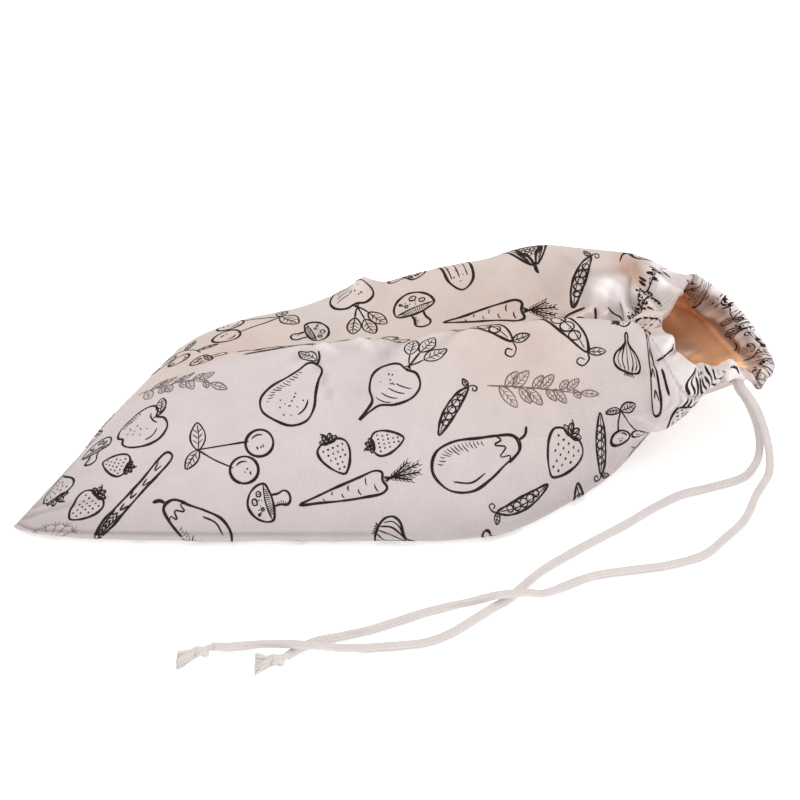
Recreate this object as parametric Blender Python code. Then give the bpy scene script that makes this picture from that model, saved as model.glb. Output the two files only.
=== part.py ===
"""Cotton bread bag with a drawstring, lying on its side on a table.

The bag is one thin hollow cloth: a closed end sewn flat, a puffed body with a near ridge, a valley
and a far hump, and a mouth drawn in by a cord in its hem. Two free ends of the cord lie on the
table in front of it, each with a knot and a frayed end. Metres, +Z up, the table at Z = 0, +X from
the closed end to the mouth, and the side that faces +Y is the far one.
"""

import math

import bmesh
import bpy
import numpy as np
from mathutils import Vector

MM = 0.001

# Places in the tables below are measured from a point by the bag's near edge; the part's own origin
# is this far from it, under the middle of the bag.
ORIGIN = np.array((-1.77, 110.0, 0.0)) * MM

# cloth
CLOTH = 1.5 * MM  # thickness of the sheet
HEM = 4.6 * MM  # thickness of the drawn hem with the cord in it
SEAM_HEIGHT = 3.4 * MM  # two layers sewn together at the closed end
PLEATS = 24  # gathers round the mouth
PLEAT_DEPTH = 2.0 * MM
PLEAT_UNEVEN = 0.28  # how much the gathers' depth varies
GATHER_START = 0.2  # where the gathers begin, between the last body section (0) and the fold (1)
HEM_START = 0.64  # where the hem begins, on the same scale
HEM_BLEND = 0.14  # over how much of that scale the cloth thickens to the hem
EXIT_FLAT = 3.0  # samples on each side of the cord's exit where the gathers fade

# samples round a section: near edge to ridge, ridge to hump, hump to far edge, underside
ROUND_STEPS = (20, 16, 12, 48)
ROUND_FINE = 24  # steps between two of a section's nine points, before they are evened out

# cord
CORD = 4.5 * MM
TABLE_GAP = 0.05 * MM
TOUCH_GAP = 0.3 * MM
TUBE_POINTS = 38
CORD_SIDES = 2  # bevel resolution
ROUTE_FINE = 12  # steps between two points of a route, before they are evened out

# knots and frayed ends
UP = Vector((0.0, 0.0, 1.0))
KNOT_LENGTH = 10.0 * MM
KNOT_WIDTH = 8.2 * MM
KNOT_LUMPS = 0.07  # unevenness, as a share of the radius
KNOT_SIDES = 12
KNOT_PROFILE = (  # share of the length, share of the half width
    (0.0, 0.50), (0.12, 0.86), (0.30, 1.0), (0.48, 0.90), (0.62, 0.98), (0.82, 0.80), (1.0, 0.56),
)
KNOT_END_INNER = 0.5  # the end face's inner ring, as a share of its outer one
KNOT_END_DOME = (0.4 * MM, 0.6 * MM)  # how far that ring and the middle stand out
STRAND_LENGTH = 11.0 * MM
STRAND_UNEVEN = 0.26  # how much shorter the shortest strand is
STRAND_STRAY = 0.12  # how far a strand leans off its own way
STRAND_INSET = 0.14 * MM
STRAND_STEPS = ((0.30, 0.95), (0.40, 0.95), (0.30, 0.8))  # share of the length, taper
STRAND_FLOOR = 0.15 * MM
FRAY_SPREAD = 0.62  # how far the strands splay, as a share of their length

# Sections of the body from the closed end to the neck, in millimetres, a row for each. steps is
# the number of rings up to the next row. A section is slanted where x_near and x_far differ.
SECTION_COLUMNS = (
    "steps", "x_near", "x_far", "near_y", "near_z", "bulge", "ridge_y", "ridge_z",
    "valley_y", "valley_z", "hump_y", "hump_z", "far_y", "far_z", "lift",
)
SECTION_ROWS = (
    (2, -191, -112, 8, 3.0, 2, 84, 17, 124, 16, 164, 14, 205, 4.0, 0),
    (2, -171, -97, 3, 3.5, 5, 80, 36, 121, 34, 166, 28, 208, 6.0, 0),
    (2, -140, -74, 0, 4.0, 8, 80, 53, 121, 46, 166, 39, 212, 9.0, 0),
    (2, -100, -48, -2, 4.5, 9, 84, 62, 121, 49, 165, 47, 216, 12, 0),
    (2, -55, -22, -2, 4.5, 9, 87, 67.5, 122, 52, 167, 56, 219, 14, 0),
    (2, -5, 10, -2, 4.5, 9, 89, 70.5, 125, 54, 169, 64, 222, 15, 0),
    (2, 50, 50, 4, 4.5, 9, 95, 74, 130, 55, 173, 71, 221, 16, 0),
    (2, 84, 82, 31, 4.5, 8, 99, 76, 134, 52, 176, 75, 215, 18, 0),
    (3, 112, 110, 62, 6.0, 7, 97, 75.5, 136, 50, 177, 74, 205, 22, 1),
)

# where the flat underside starts, as a share of a section's width from its near and far edges
UNDER_NEAR = 0.08
UNDER_FAR = 0.12

# Closed end, sewn flat on the table: its two corners.
SEAM_NEAR = (-204, 14)
SEAM_FAR = (-122, 203)
SEAM_STEPS = 2

# Mouth, in millimetres: the neck, the hem's stitch line and the hem's fold, a row for each line
# that runs along the bag. The hem's fold faces up and to the right.
MOUTH_COLUMNS = ("neck", "stitch", "fold")
MOUTH_STEPS = (4, 3)
MOUTH_ROWS = {
    "near": ((144, 100, 21), (172, 108, 36), (180, 97, 46)),
    "face": ((136, 62, 33), (151, 72, 48), (152, 76, 62)),
    "ridge": ((125, 94, 75.5), (133, 90, 68.5), (143, 88, 71)),
    "valley": ((118, 128, 54), (124, 120, 58), (138, 118, 64)),
    "hump": ((130, 177, 73), (144, 175, 66), (157, 162, 66)),
    "far": ((147, 192, 38), (161, 183, 45), (168, 174, 58)),
    "under_far": ((151, 178, 18), (175, 169, 31), (184, 165, 47)),
    "under_mid": ((149, 145, 11), (186, 148, 26), (195, 144, 40)),
    "under_near": ((147, 115, 14), (188, 124, 28), (199, 116, 37)),
}
LINES = tuple(MOUTH_ROWS)

# Creases and swells of the body, in millimetres: a soft trough (depth above 0) or ridge (below 0)
# along a straight line seen from above, on the upper side.
CREASE_FADE = 0.12  # how far past its ends a crease fades out, as a share of its length
CREASE_COLUMNS = ("x_from", "y_from", "x_to", "y_to", "width", "depth")
CREASES = {
    "ridge_tuck": (-16, 62, 6, 106, 12.0, 2.6),
    "hump_pinch": (-24, 146, -18, 192, 10.0, -3.0),
    "valley_puff": (103, 136, 112, 152, 11.0, -7.0),
    "behind_puff": (84, 146, 96, 168, 10.0, 3.5),
    "hem_trough": (121, 142, 131, 172, 8.0, 4.0),
    "near_gather": (92, 58, 132, 66, 9.0, 2.6),
    "closed_end_sag": (-160, 60, -110, 96, 16.0, 2.5),
}

# Routes of the cord's two free ends, in millimetres: where each leaves the hem, falls to the
# table and lies. A z of None is on the table.
ROUTE_A = (
    (179.3, 101.8, 41.0), (180.4, 98.4, 37.3), (184, 94, 34), (188, 89.5, 29), (191.5, 86, 21.5),
    (194, 81, 13.5), (195, 74.5, 7), (194, 66, 3.2), (190, 56, None), (186, 46, None),
    (178, 21, None),
    (166, 2, None), (155, -13, None), (136, -23, None), (116, -28, None), (98, -33, None),
    (84, -42, None), (72, -53, 4.4), (62, -57, 7.4), (48, -59.5, 7.4), (36, -60.5, 4.4),
    (19, -64, None), (-1, -75, None), (-15, -83, None), (-30, -89, None), (-41, -93, None),
    (-50, -100, None), (-55, -107, 3.0),
)
ROUTE_B = (
    (178.3, 107.2, 36.8), (179.2, 104.2, 33.2), (182.5, 101, 29.5), (186, 97, 24.5),
    (189, 93, 17), (190.5, 87.5, 10), (189.5, 80, 5), (186, 72, 2.8), (180, 63, None),
    (160, 52, None), (147, 46, None), (132, 33, None), (116, 16, None), (99, 0, None),
    (85, -14, None), (72, -28, None), (61, -44, None), (54, -55, None), (47, -62, None),
    (38, -72, None), (25, -86, None), (13, -94, None), (0, -97, None), (-15, -99, None),
    (-30, -102.5, 4.4), (-41, -105, 7.4), (-55, -103.5, 7.4), (-66, -99, 4.4), (-77, -97, None),
    (-86, -99, 2.7), (-92, -101, 4.2),
)


def clear_scene():
    """Removes what the start-up file holds."""
    for obj in list(bpy.data.objects):
        bpy.data.objects.remove(obj, do_unlink=True)


def finish(name, colour, roughness):
    """Makes a Principled material."""
    material = bpy.data.materials.new(name)
    material.use_nodes = True
    shader = material.node_tree.nodes["Principled BSDF"]
    shader.inputs["Base Color"].default_value = (*colour, 1.0)
    shader.inputs["Roughness"].default_value = roughness
    shader.inputs["Metallic"].default_value = 0.0
    return material


def tangents(points, knots, closed):
    """Catmull-Rom tangents of points at uneven knots."""
    count = len(points)
    out = np.zeros_like(points)
    for i in range(count):
        if closed:
            before, after = points[i - 1], points[(i + 1) % count]
            step_back = knots[i] - knots[i - 1] if i else knots[count] - knots[count - 1]
            step_on = knots[i + 1] - knots[i]
        elif i in (0, count - 1):
            j = 0 if i == 0 else count - 2
            out[i] = (points[j + 1] - points[j]) / (knots[j + 1] - knots[j])
            continue
        else:
            before, after = points[i - 1], points[i + 1]
            step_back, step_on = knots[i] - knots[i - 1], knots[i + 1] - knots[i]
        slope_back = (points[i] - before) / step_back
        slope_on = (after - points[i]) / step_on
        out[i] = (slope_back * step_on + slope_on * step_back) / (step_back + step_on)
    return out


def hermite(p0, p1, m0, m1, step, t):
    """One cubic stretch from p0 to p1 at the share t."""
    t2, t3 = t * t, t * t * t
    return (
        p0 * (2 * t3 - 3 * t2 + 1) + m0 * step * (t3 - 2 * t2 + t)
        + p1 * (3 * t2 - 2 * t3) + m1 * step * (t3 - t2)
    )


def smooth_path(points, per_stretch, closed=False):
    """Points along a smooth curve through the given ones, with equal steps in each stretch."""
    points = np.asarray(points, float)
    ring = np.vstack([points, points[:1]]) if closed else points
    gaps = np.linalg.norm(np.diff(ring, axis=0), axis=1) ** 0.5
    knots = np.concatenate([[0.0], np.cumsum(gaps)])
    slopes = tangents(points, knots, closed)
    out = []
    for i in range(len(ring) - 1):
        j = (i + 1) % len(points)
        for k in range(per_stretch):
            out.append(hermite(points[i], points[j], slopes[i], slopes[j], gaps[i], k / per_stretch))
    if not closed:
        out.append(points[-1])
    return np.array(out)


def even_steps(path, count):
    """The path again as count equal steps, with both ends."""
    lengths = np.concatenate([[0.0], np.cumsum(np.linalg.norm(np.diff(path, axis=0), axis=1))])
    wanted = np.linspace(0.0, lengths[-1], count + 1)
    return np.stack([np.interp(wanted, lengths, path[:, axis]) for axis in range(3)], axis=1)


def body_lines(row):
    """The nine points of a body section, in the order of LINES."""
    s = dict(zip(SECTION_COLUMNS, row))
    width = s["far_y"] - s["near_y"]
    rise, run = s["ridge_z"] - s["near_z"], s["ridge_y"] - s["near_y"]
    slope = math.hypot(rise, run)
    yz = {
        "near": (s["near_y"], s["near_z"] + s["lift"]),
        "face": (
            (s["near_y"] + s["ridge_y"]) / 2 - s["bulge"] * rise / slope,
            (s["near_z"] + s["ridge_z"]) / 2 + s["bulge"] * run / slope,
        ),
        "ridge": (s["ridge_y"], s["ridge_z"]),
        "valley": (s["valley_y"], s["valley_z"]),
        "hump": (s["hump_y"], s["hump_z"]),
        "far": (s["far_y"], s["far_z"]),
        "under_far": (s["far_y"] - UNDER_FAR * width, s["lift"]),
        "under_mid": (s["near_y"] + width / 2, s["lift"]),
        "under_near": (s["near_y"] + UNDER_NEAR * width, s["lift"]),
    }
    slant = (s["x_far"] - s["x_near"]) / width
    places = (yz[name] for name in LINES)
    return np.array([(s["x_near"] + slant * (y - s["near_y"]), y, z) for y, z in places])


def ring_of(lines):
    """A closed section ring through its nine points; ridge, hump and far edge are fixed samples."""
    path = smooth_path(lines, ROUND_FINE, closed=True)
    path = np.vstack([path, path[:1]])
    fixed = [LINES.index(name) * ROUND_FINE for name in ("ridge", "hump", "far")]
    marks = [0] + fixed + [len(path) - 1]
    parts = [even_steps(path[a:b + 1], n)[:-1] for a, b, n in zip(marks, marks[1:], ROUND_STEPS)]
    return np.vstack(parts)


def seam_ring():
    """The closed end: a flat slit with its top and underside one above the other."""
    count = sum(ROUND_STEPS)
    half = count // 2
    ring = []
    for i in range(count):
        share = i / half if i <= half else (count - i) / half
        level = 0.5 if i in (0, half) else float(i < half)
        x = SEAM_NEAR[0] + share * (SEAM_FAR[0] - SEAM_NEAR[0])
        y = SEAM_NEAR[1] + share * (SEAM_FAR[1] - SEAM_NEAR[1])
        ring.append((x, y, level * SEAM_HEIGHT / MM))
    return np.array(ring)


def bag_rings():
    """All rings of the outer face, and how far each is into the mouth: 0 body, 1 hem's fold."""
    columns = len(MOUTH_COLUMNS)
    rows = [seam_ring()] + [ring_of(body_lines(row)) for row in SECTION_ROWS]
    for column in range(columns):
        rows.append(ring_of(np.array([MOUTH_ROWS[name][column] for name in LINES], float)))
    rows = np.array(rows)
    steps = [SEAM_STEPS] + [row[0] for row in SECTION_ROWS] + list(MOUTH_STEPS)
    gaps = np.linalg.norm(np.diff(rows, axis=0), axis=2).mean(axis=1)
    knots = np.concatenate([[0.0], np.cumsum(gaps)])
    slopes = tangents(rows, knots, False)
    rings, mouth = [], []
    neck = len(rows) - columns
    for i in range(len(rows) - 1):
        for k in range(steps[i]):
            rings.append(hermite(rows[i], rows[i + 1], slopes[i], slopes[i + 1], gaps[i], k / steps[i]))
            mouth.append(max(0.0, (i + k / steps[i] - neck + 1) / columns))
    rings.append(rows[-1])
    mouth.append(1.0)
    rings = np.array(rings)
    rings[:, :, 2] = np.maximum(rings[:, :, 2], 0.0)
    return rings * MM, np.array(mouth)


def outward(rings):
    """Normals of the rings' surface, facing out."""
    along = np.gradient(rings, axis=0)
    around = (np.roll(rings, -1, axis=1) - np.roll(rings, 1, axis=1)) / 2
    normal = np.cross(around, along)
    normal /= np.maximum(np.linalg.norm(normal, axis=2, keepdims=True), 1e-12)
    return -normal


def crease_height(rings, normal):
    """How far each point of the upper side moves along its normal for the creases."""
    height = np.zeros(rings.shape[:2])
    for row in CREASES.values():
        c = dict(zip(CREASE_COLUMNS, row))
        start = np.array([c["x_from"], c["y_from"]]) * MM
        run = np.array([c["x_to"], c["y_to"]]) * MM - start
        offset = rings[:, :, :2] - start
        share = np.clip((offset @ run) / (run @ run), 0.0, 1.0)
        away = np.linalg.norm(offset - share[:, :, None] * run, axis=2)
        fade = np.sqrt(np.clip(4 * (share + CREASE_FADE) * (1 + CREASE_FADE - share), 0.0, 1.0))
        height -= c["depth"] * MM * fade * np.exp(-(away / (c["width"] * MM)) ** 2)
    return height * np.clip(normal[:, :, 2] * 3, 0.0, 1.0)


def pleat_wave(count):
    """Uneven gathers round the mouth, a value between -1 and 1 for each sample."""
    i = np.arange(count)
    wave = np.cos(2 * math.pi * PLEATS * i / count)
    drift = np.sin(2 * math.pi * 5 * i / count + 0.6) * np.cos(2 * math.pi * 3 * i / count)
    uneven = 1 - PLEAT_UNEVEN + PLEAT_UNEVEN * drift
    from_exit = np.minimum(i, count - i)
    return wave * uneven * (1 - np.exp(-(from_exit / EXIT_FLAT) ** 2))


def bag_cloth(material):
    """The bag as one closed shell: outer face, inner face, closed end and hem's fold."""
    rings, mouth = bag_rings()
    normal = outward(rings)
    count = rings.shape[1]
    gather = np.clip((mouth - GATHER_START) / (HEM_START - GATHER_START), 0.0, 1.0) ** 1.5
    move = gather[:, None] * pleat_wave(count)[None, :] * PLEAT_DEPTH + crease_height(rings, normal)
    outer = rings + normal * move[:, :, None]
    outer[:, :, 2] = np.maximum(outer[:, :, 2], 0.0)
    roll = np.clip((mouth - HEM_START) / HEM_BLEND, 0.0, 1.0)
    wall = CLOTH + (HEM - CLOTH) * roll
    inner = outer - normal * wall[:, None, None]
    inner = inner[1:]

    mesh = bmesh.new()
    outer_verts = [[mesh.verts.new(p) for p in ring - ORIGIN] for ring in outer]
    inner_verts = [[mesh.verts.new(p) for p in ring - ORIGIN] for ring in inner]

    def skin(table, flip):
        for a, b in zip(table, table[1:]):
            for i in range(count):
                j = (i + 1) % count
                quad = [a[i], a[j], b[j], b[i]]
                mesh.faces.new(quad[::-1] if flip else quad)

    def close_slit(ring, flip):
        half = count // 2
        for i in range(half):
            j = (count - i) % count
            corners = [ring[i], ring[i + 1], ring[count - i - 1], ring[j]]
            unique = list(dict.fromkeys(corners))
            mesh.faces.new(unique[::-1] if flip else unique)

    skin(outer_verts, False)
    skin(inner_verts, True)
    skin([outer_verts[-1], inner_verts[-1]], False)
    close_slit(outer_verts[0], True)
    close_slit(inner_verts[0], False)
    bmesh.ops.recalc_face_normals(mesh, faces=mesh.faces)
    return add_object("bag_cloth", mesh, material)


def add_object(name, mesh, material, smooth=60):
    """Puts a bmesh in the scene under its name."""
    data = bpy.data.meshes.new(name)
    mesh.to_mesh(data)
    mesh.free()
    data.shade_smooth()
    data.set_sharp_from_angle(angle=math.radians(smooth))
    data.materials.append(material)
    obj = bpy.data.objects.new(name, data)
    bpy.context.scene.collection.objects.link(obj)
    return obj


def on_table(route):
    """The route in metres, with None replaced by the height of a cord that lies on the table."""
    rest = CORD / 2 + TABLE_GAP
    return np.array([(x * MM, y * MM, rest if z is None else z * MM) for x, y, z in route])


def cord(name, route, material):
    """One free end of the cord as a round tube along a smooth route."""
    path = smooth_path(on_table(route), ROUTE_FINE)
    path[:, 2] = np.maximum(path[:, 2], CORD / 2 + TABLE_GAP)
    path = even_steps(path, TUBE_POINTS - 1) - ORIGIN
    curve = bpy.data.curves.new(name, "CURVE")
    curve.dimensions = "3D"
    curve.bevel_depth = CORD / 2
    curve.bevel_resolution = CORD_SIDES
    curve.use_fill_caps = True
    spline = curve.splines.new("POLY")
    spline.points.add(len(path) - 1)
    for point, place in zip(spline.points, path):
        point.co = (*place, 1.0)
    curve.materials.append(material)
    obj = bpy.data.objects.new(name, curve)
    bpy.context.scene.collection.objects.link(obj)
    return path


def knot(mesh, start, heading, side, turn):
    """The knot's skin from its cord end to its end face, and the end face's ring of points."""
    rings = []
    for share, swell in KNOT_PROFILE:
        centre = start + heading * (share * KNOT_LENGTH)
        ring = []
        for k in range(KNOT_SIDES):
            angle = 2 * math.pi * k / KNOT_SIDES
            radius = swell * KNOT_WIDTH / 2 * (1 + KNOT_LUMPS * math.sin(2 * angle + 5 * share + turn))
            offset = side * math.cos(angle) * radius + UP * math.sin(angle) * radius
            ring.append(mesh.verts.new(centre + offset))
        rings.append(ring)
    for a, b in zip(rings, rings[1:]):
        for k in range(KNOT_SIDES):
            j = (k + 1) % KNOT_SIDES
            mesh.faces.new((a[k], a[j], b[j], b[k]))
    mesh.faces.new(rings[0][::-1])
    return rings[-1]


def strand_roots(mesh, ring, centre, heading):
    """The knot's end face as a domed disc of small faces, each the root of one strand."""
    low, high = (heading * rise for rise in KNOT_END_DOME)
    inner = [mesh.verts.new(centre + (vert.co - centre) * KNOT_END_INNER + low) for vert in ring]
    hub = mesh.verts.new(centre + high)
    roots = []
    for k in range(KNOT_SIDES):
        j = (k + 1) % KNOT_SIDES
        roots.append(mesh.faces.new((ring[k], ring[j], inner[j], inner[k])))
    for k in range(0, KNOT_SIDES, 2):
        roots.append(mesh.faces.new((inner[k], inner[k + 1], inner[(k + 2) % KNOT_SIDES], hub)))
    return roots


def tassel(name, path, material, turn):
    """A knot in the cord's end with its frayed strands, rooted in the knot's end face."""
    heading = Vector(path[-1] - path[-2])
    heading.z = 0
    heading.normalize()
    side = Vector((-heading.y, heading.x, 0.0))
    start = Vector(path[-1]) + heading * TOUCH_GAP
    start.z = KNOT_WIDTH / 2 * (1 + KNOT_LUMPS) + TABLE_GAP

    mesh = bmesh.new()
    ring = knot(mesh, start, heading, side, turn)
    centre = start + heading * KNOT_LENGTH
    roots = strand_roots(mesh, ring, centre, heading)
    bmesh.ops.recalc_face_normals(mesh, faces=mesh.faces)

    for number, root in enumerate(roots):
        offset = (root.calc_center_median() - centre) / (KNOT_WIDTH / 2)
        short = STRAND_UNEVEN * (1 - abs(math.cos(number * 1.7 + turn)))
        reach = STRAND_LENGTH * (1 - short)
        sideways = offset.dot(side) * FRAY_SPREAD + STRAND_STRAY * math.sin(number * 2.4 + turn)
        ahead = heading + side * sideways + UP * (offset.z * FRAY_SPREAD)
        bmesh.ops.inset_individual(mesh, faces=[root], thickness=STRAND_INSET, use_even_offset=True)
        face = root
        for step, thin in STRAND_STEPS:
            face = bmesh.ops.extrude_discrete_faces(mesh, faces=[face])["faces"][0]
            middle = face.calc_center_median()
            for vert in face.verts:
                vert.co = middle + (vert.co - middle) * thin + ahead * (step * reach)
            low = min(vert.co.z for vert in face.verts)
            if low < STRAND_FLOOR:
                for vert in face.verts:
                    vert.co.z += STRAND_FLOOR - low
    bmesh.ops.recalc_face_normals(mesh, faces=mesh.faces)
    return add_object(name, mesh, material, smooth=40)


def build():
    clear_scene()
    cloth = finish("printed_cotton", (0.79, 0.72, 0.68), 0.9)
    cotton = finish("cotton_cord", (0.82, 0.76, 0.70), 0.9)
    bag_cloth(cloth)
    path_a = cord("cord_a", ROUTE_A, cotton)
    path_b = cord("cord_b", ROUTE_B, cotton)
    tassel("tassel_a", path_a, cotton, 0.0)
    tassel("tassel_b", path_b, cotton, 1.3)


build()
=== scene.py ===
import math
import random

import bmesh
import bpy
import numpy as np
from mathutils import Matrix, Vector, noise


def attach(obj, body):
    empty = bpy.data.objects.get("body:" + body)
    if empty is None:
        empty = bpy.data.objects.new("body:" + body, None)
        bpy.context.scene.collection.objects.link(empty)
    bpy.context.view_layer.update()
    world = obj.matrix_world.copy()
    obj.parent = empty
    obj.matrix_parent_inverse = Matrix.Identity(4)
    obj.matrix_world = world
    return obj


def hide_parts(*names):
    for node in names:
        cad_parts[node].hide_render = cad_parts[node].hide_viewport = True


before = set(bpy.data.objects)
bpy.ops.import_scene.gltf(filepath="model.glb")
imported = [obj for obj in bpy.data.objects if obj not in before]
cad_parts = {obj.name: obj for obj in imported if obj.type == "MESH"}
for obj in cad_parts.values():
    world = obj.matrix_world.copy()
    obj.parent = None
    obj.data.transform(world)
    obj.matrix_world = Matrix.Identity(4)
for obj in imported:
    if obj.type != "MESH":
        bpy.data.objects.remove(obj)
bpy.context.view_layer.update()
mm = 0.001
tableOrigin = np.array((-1.77, 110.0, 0.0))  # the point that the tables below are measured from, in mm
print("frame: loaded")

# Camera, floor and light

view = dict(
    elevation=30.0,  # degrees
    distance=2.2,
    aim=(0.00177, -0.010, 0.02794),
    pixel=0.00053,  # metres for a pixel at the aim
    frame=800,
    sensor=36.0,
)

studio = dict(
    floorSize=6.0,
    floorDrop=0.0002,
    floorColour=(0.93, 0.93, 0.93),
    floorGlow=0.44,
    sky=(1.0, 0.985, 0.97),
    skyPower=0.72,
    lamps={
        # place, width, power, colour
        "topSoftbox": ((-0.1, 0.25, 1.5), 1.3, 11.0, (1.0, 0.98, 0.96)),
        "frontFill": ((0.35, -1.5, 1.0), 1.5, 7.0, (0.98, 0.98, 1.0)),
    },
)


def addCamera(s):
    tilt = math.radians(s["elevation"])
    cam = bpy.data.objects.new("camera", bpy.data.cameras.new("camera"))
    bpy.context.scene.collection.objects.link(cam)
    back = Vector((0.0, -math.cos(tilt), math.sin(tilt)))
    cam.location = Vector(s["aim"]) + back * s["distance"]
    cam.rotation_euler = (math.pi / 2 - tilt, 0.0, 0.0)
    cam.data.sensor_width = s["sensor"]
    cam.data.lens = s["sensor"] * s["distance"] / (s["frame"] * s["pixel"])
    bpy.context.scene.camera = cam


def addStudio(s):
    bm = bmesh.new()
    bmesh.ops.create_grid(bm, x_segments=1, y_segments=1, size=s["floorSize"] / 2)
    bmesh.ops.translate(bm, vec=(0.0, 0.0, -s["floorDrop"]), verts=bm.verts)
    paper = newMaterial("palePaper", s["floorColour"], 0.9)
    shader = paper.node_tree.nodes["Principled BSDF"]
    shader.inputs["Emission Color"].default_value = (1.0, 1.0, 1.0, 1.0)
    shader.inputs["Emission Strength"].default_value = s["floorGlow"]
    finishPiece(bm, "floor", [paper], smooth=False)
    sky = bpy.data.worlds.new("sky")
    sky.use_nodes = True
    background = sky.node_tree.nodes["Background"]
    background.inputs["Color"].default_value = (*s["sky"], 1.0)
    background.inputs["Strength"].default_value = s["skyPower"]
    bpy.context.scene.world = sky
    for name, (place, width, power, colour) in s["lamps"].items():
        lamp = bpy.data.lights.new(name, "AREA")
        lamp.size = width
        lamp.energy = power
        lamp.color = colour
        holder = bpy.data.objects.new(name, lamp)
        holder.location = place
        holder.rotation_euler = (-Vector(place)).to_track_quat("-Z", "Y").to_euler()
        bpy.context.scene.collection.objects.link(holder)
    bpy.context.scene.view_settings.view_transform = "Standard"


def newMaterial(name, colour, roughness, sheen=0.0):
    made = bpy.data.materials.new(name)
    made.use_nodes = True
    shader = made.node_tree.nodes["Principled BSDF"]
    shader.inputs["Base Color"].default_value = (*colour, 1.0)
    shader.inputs["Roughness"].default_value = roughness
    shader.inputs["Specular IOR Level"].default_value = 0.25
    shader.inputs["Sheen Weight"].default_value = sheen
    return made


def addNode(tree, kind, inputs=None, **settings):
    made = tree.nodes.new(kind)
    for name, value in settings.items():
        setattr(made, name, value)
    for key, value in (inputs or {}).items():
        if isinstance(value, bpy.types.NodeSocket):
            tree.links.new(value, made.inputs[key])
        else:
            made.inputs[key].default_value = value
    return made


def calc(tree, operation, a, b=0.0):
    return addNode(tree, "ShaderNodeMath", {0: a, 1: b}, operation=operation).outputs[0]


def softNoise(tree, place, scale, detail):
    return addNode(tree, "ShaderNodeTexNoise", {"Vector": place, "Scale": scale, "Detail": detail}).outputs[0]


def mixColours(tree, factor, a, b):
    inputs = {0: factor, 6: (*a, 1.0), 7: (*b, 1.0)}
    return addNode(tree, "ShaderNodeMix", inputs, data_type="RGBA").outputs[2]


def finishPiece(bm, name, materials, smooth=True):
    mesh = bpy.data.meshes.new(name)
    bm.to_mesh(mesh)
    bm.free()
    if smooth:
        mesh.shade_smooth()
    for material in materials:
        mesh.materials.append(material)
    piece = bpy.data.objects.new(name, mesh)
    bpy.context.scene.collection.objects.link(piece)
    return piece


# Curves that the cloth, the print and the cords share

def slopesAt(points, knots, closed):
    count = len(points)
    out = np.zeros_like(points)
    for i in range(count):
        if closed:
            before, after = points[i - 1], points[(i + 1) % count]
            stepBack = knots[i] - knots[i - 1] if i else knots[count] - knots[count - 1]
            stepOn = knots[i + 1] - knots[i]
        elif i in (0, count - 1):
            j = 0 if i == 0 else count - 2
            out[i] = (points[j + 1] - points[j]) / (knots[j + 1] - knots[j])
            continue
        else:
            before, after = points[i - 1], points[i + 1]
            stepBack, stepOn = knots[i] - knots[i - 1], knots[i + 1] - knots[i]
        slopeBack = (points[i] - before) / stepBack
        slopeOn = (after - points[i]) / stepOn
        out[i] = (slopeBack * stepOn + slopeOn * stepBack) / (stepBack + stepOn)
    return out


def blendCubic(p0, p1, m0, m1, step, t):
    t2, t3 = t * t, t * t * t
    return (
        p0 * (2 * t3 - 3 * t2 + 1) + m0 * step * (t3 - 2 * t2 + t)
        + p1 * (3 * t2 - 2 * t3) + m1 * step * (t3 - t2)
    )


def smoothPath(points, perStretch, closed=False):
    points = np.asarray(points, float)
    ring = np.vstack([points, points[:1]]) if closed else points
    gaps = np.linalg.norm(np.diff(ring, axis=0), axis=1) ** 0.5
    knots = np.concatenate([[0.0], np.cumsum(gaps)])
    slopes = slopesAt(points, knots, closed)
    out = []
    for i in range(len(ring) - 1):
        j = (i + 1) % len(points)
        for k in range(perStretch):
            out.append(blendCubic(points[i], points[j], slopes[i], slopes[j], gaps[i], k / perStretch))
    out.append(points[0] if closed else points[-1])
    return np.array(out)


def pathLength(path):
    return float(np.linalg.norm(np.diff(path, axis=0), axis=1).sum())


def evenSteps(path, count):
    lengths = np.concatenate([[0.0], np.cumsum(np.linalg.norm(np.diff(path, axis=0), axis=1))])
    wanted = np.linspace(0.0, lengths[-1], count + 1)
    return np.stack([np.interp(wanted, lengths, path[:, axis]) for axis in range(path.shape[1])], axis=1)


def gridPiece(bm, places, uv=None, uvTable=None, tints=None):
    # a grid laid on places, an array of rows by columns of points in metres, with its UVs and tints
    rows, columns = places.shape[:2]
    first = len(bm.verts)
    made = bmesh.ops.create_grid(bm, x_segments=columns - 1, y_segments=rows - 1, size=1.0)["verts"]
    for vert, place in zip(made, places.reshape(-1, 3)):
        vert.co = place
    for layer, values in (tints or {}).items():
        for vert, value in zip(made, values.ravel()):
            vert[layer] = value
    faces = list({face: None for vert in made for face in vert.link_faces})
    if uv is not None:
        bm.verts.index_update()
        flat = uvTable.reshape(-1, 2)
        for face in faces:
            for loop in face.loops:
                loop[uv].uv = flat[loop.vert.index - first]
    return faces


# The bag's cloth, in mm: the same sections and mouth as its solid, sampled finely

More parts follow.
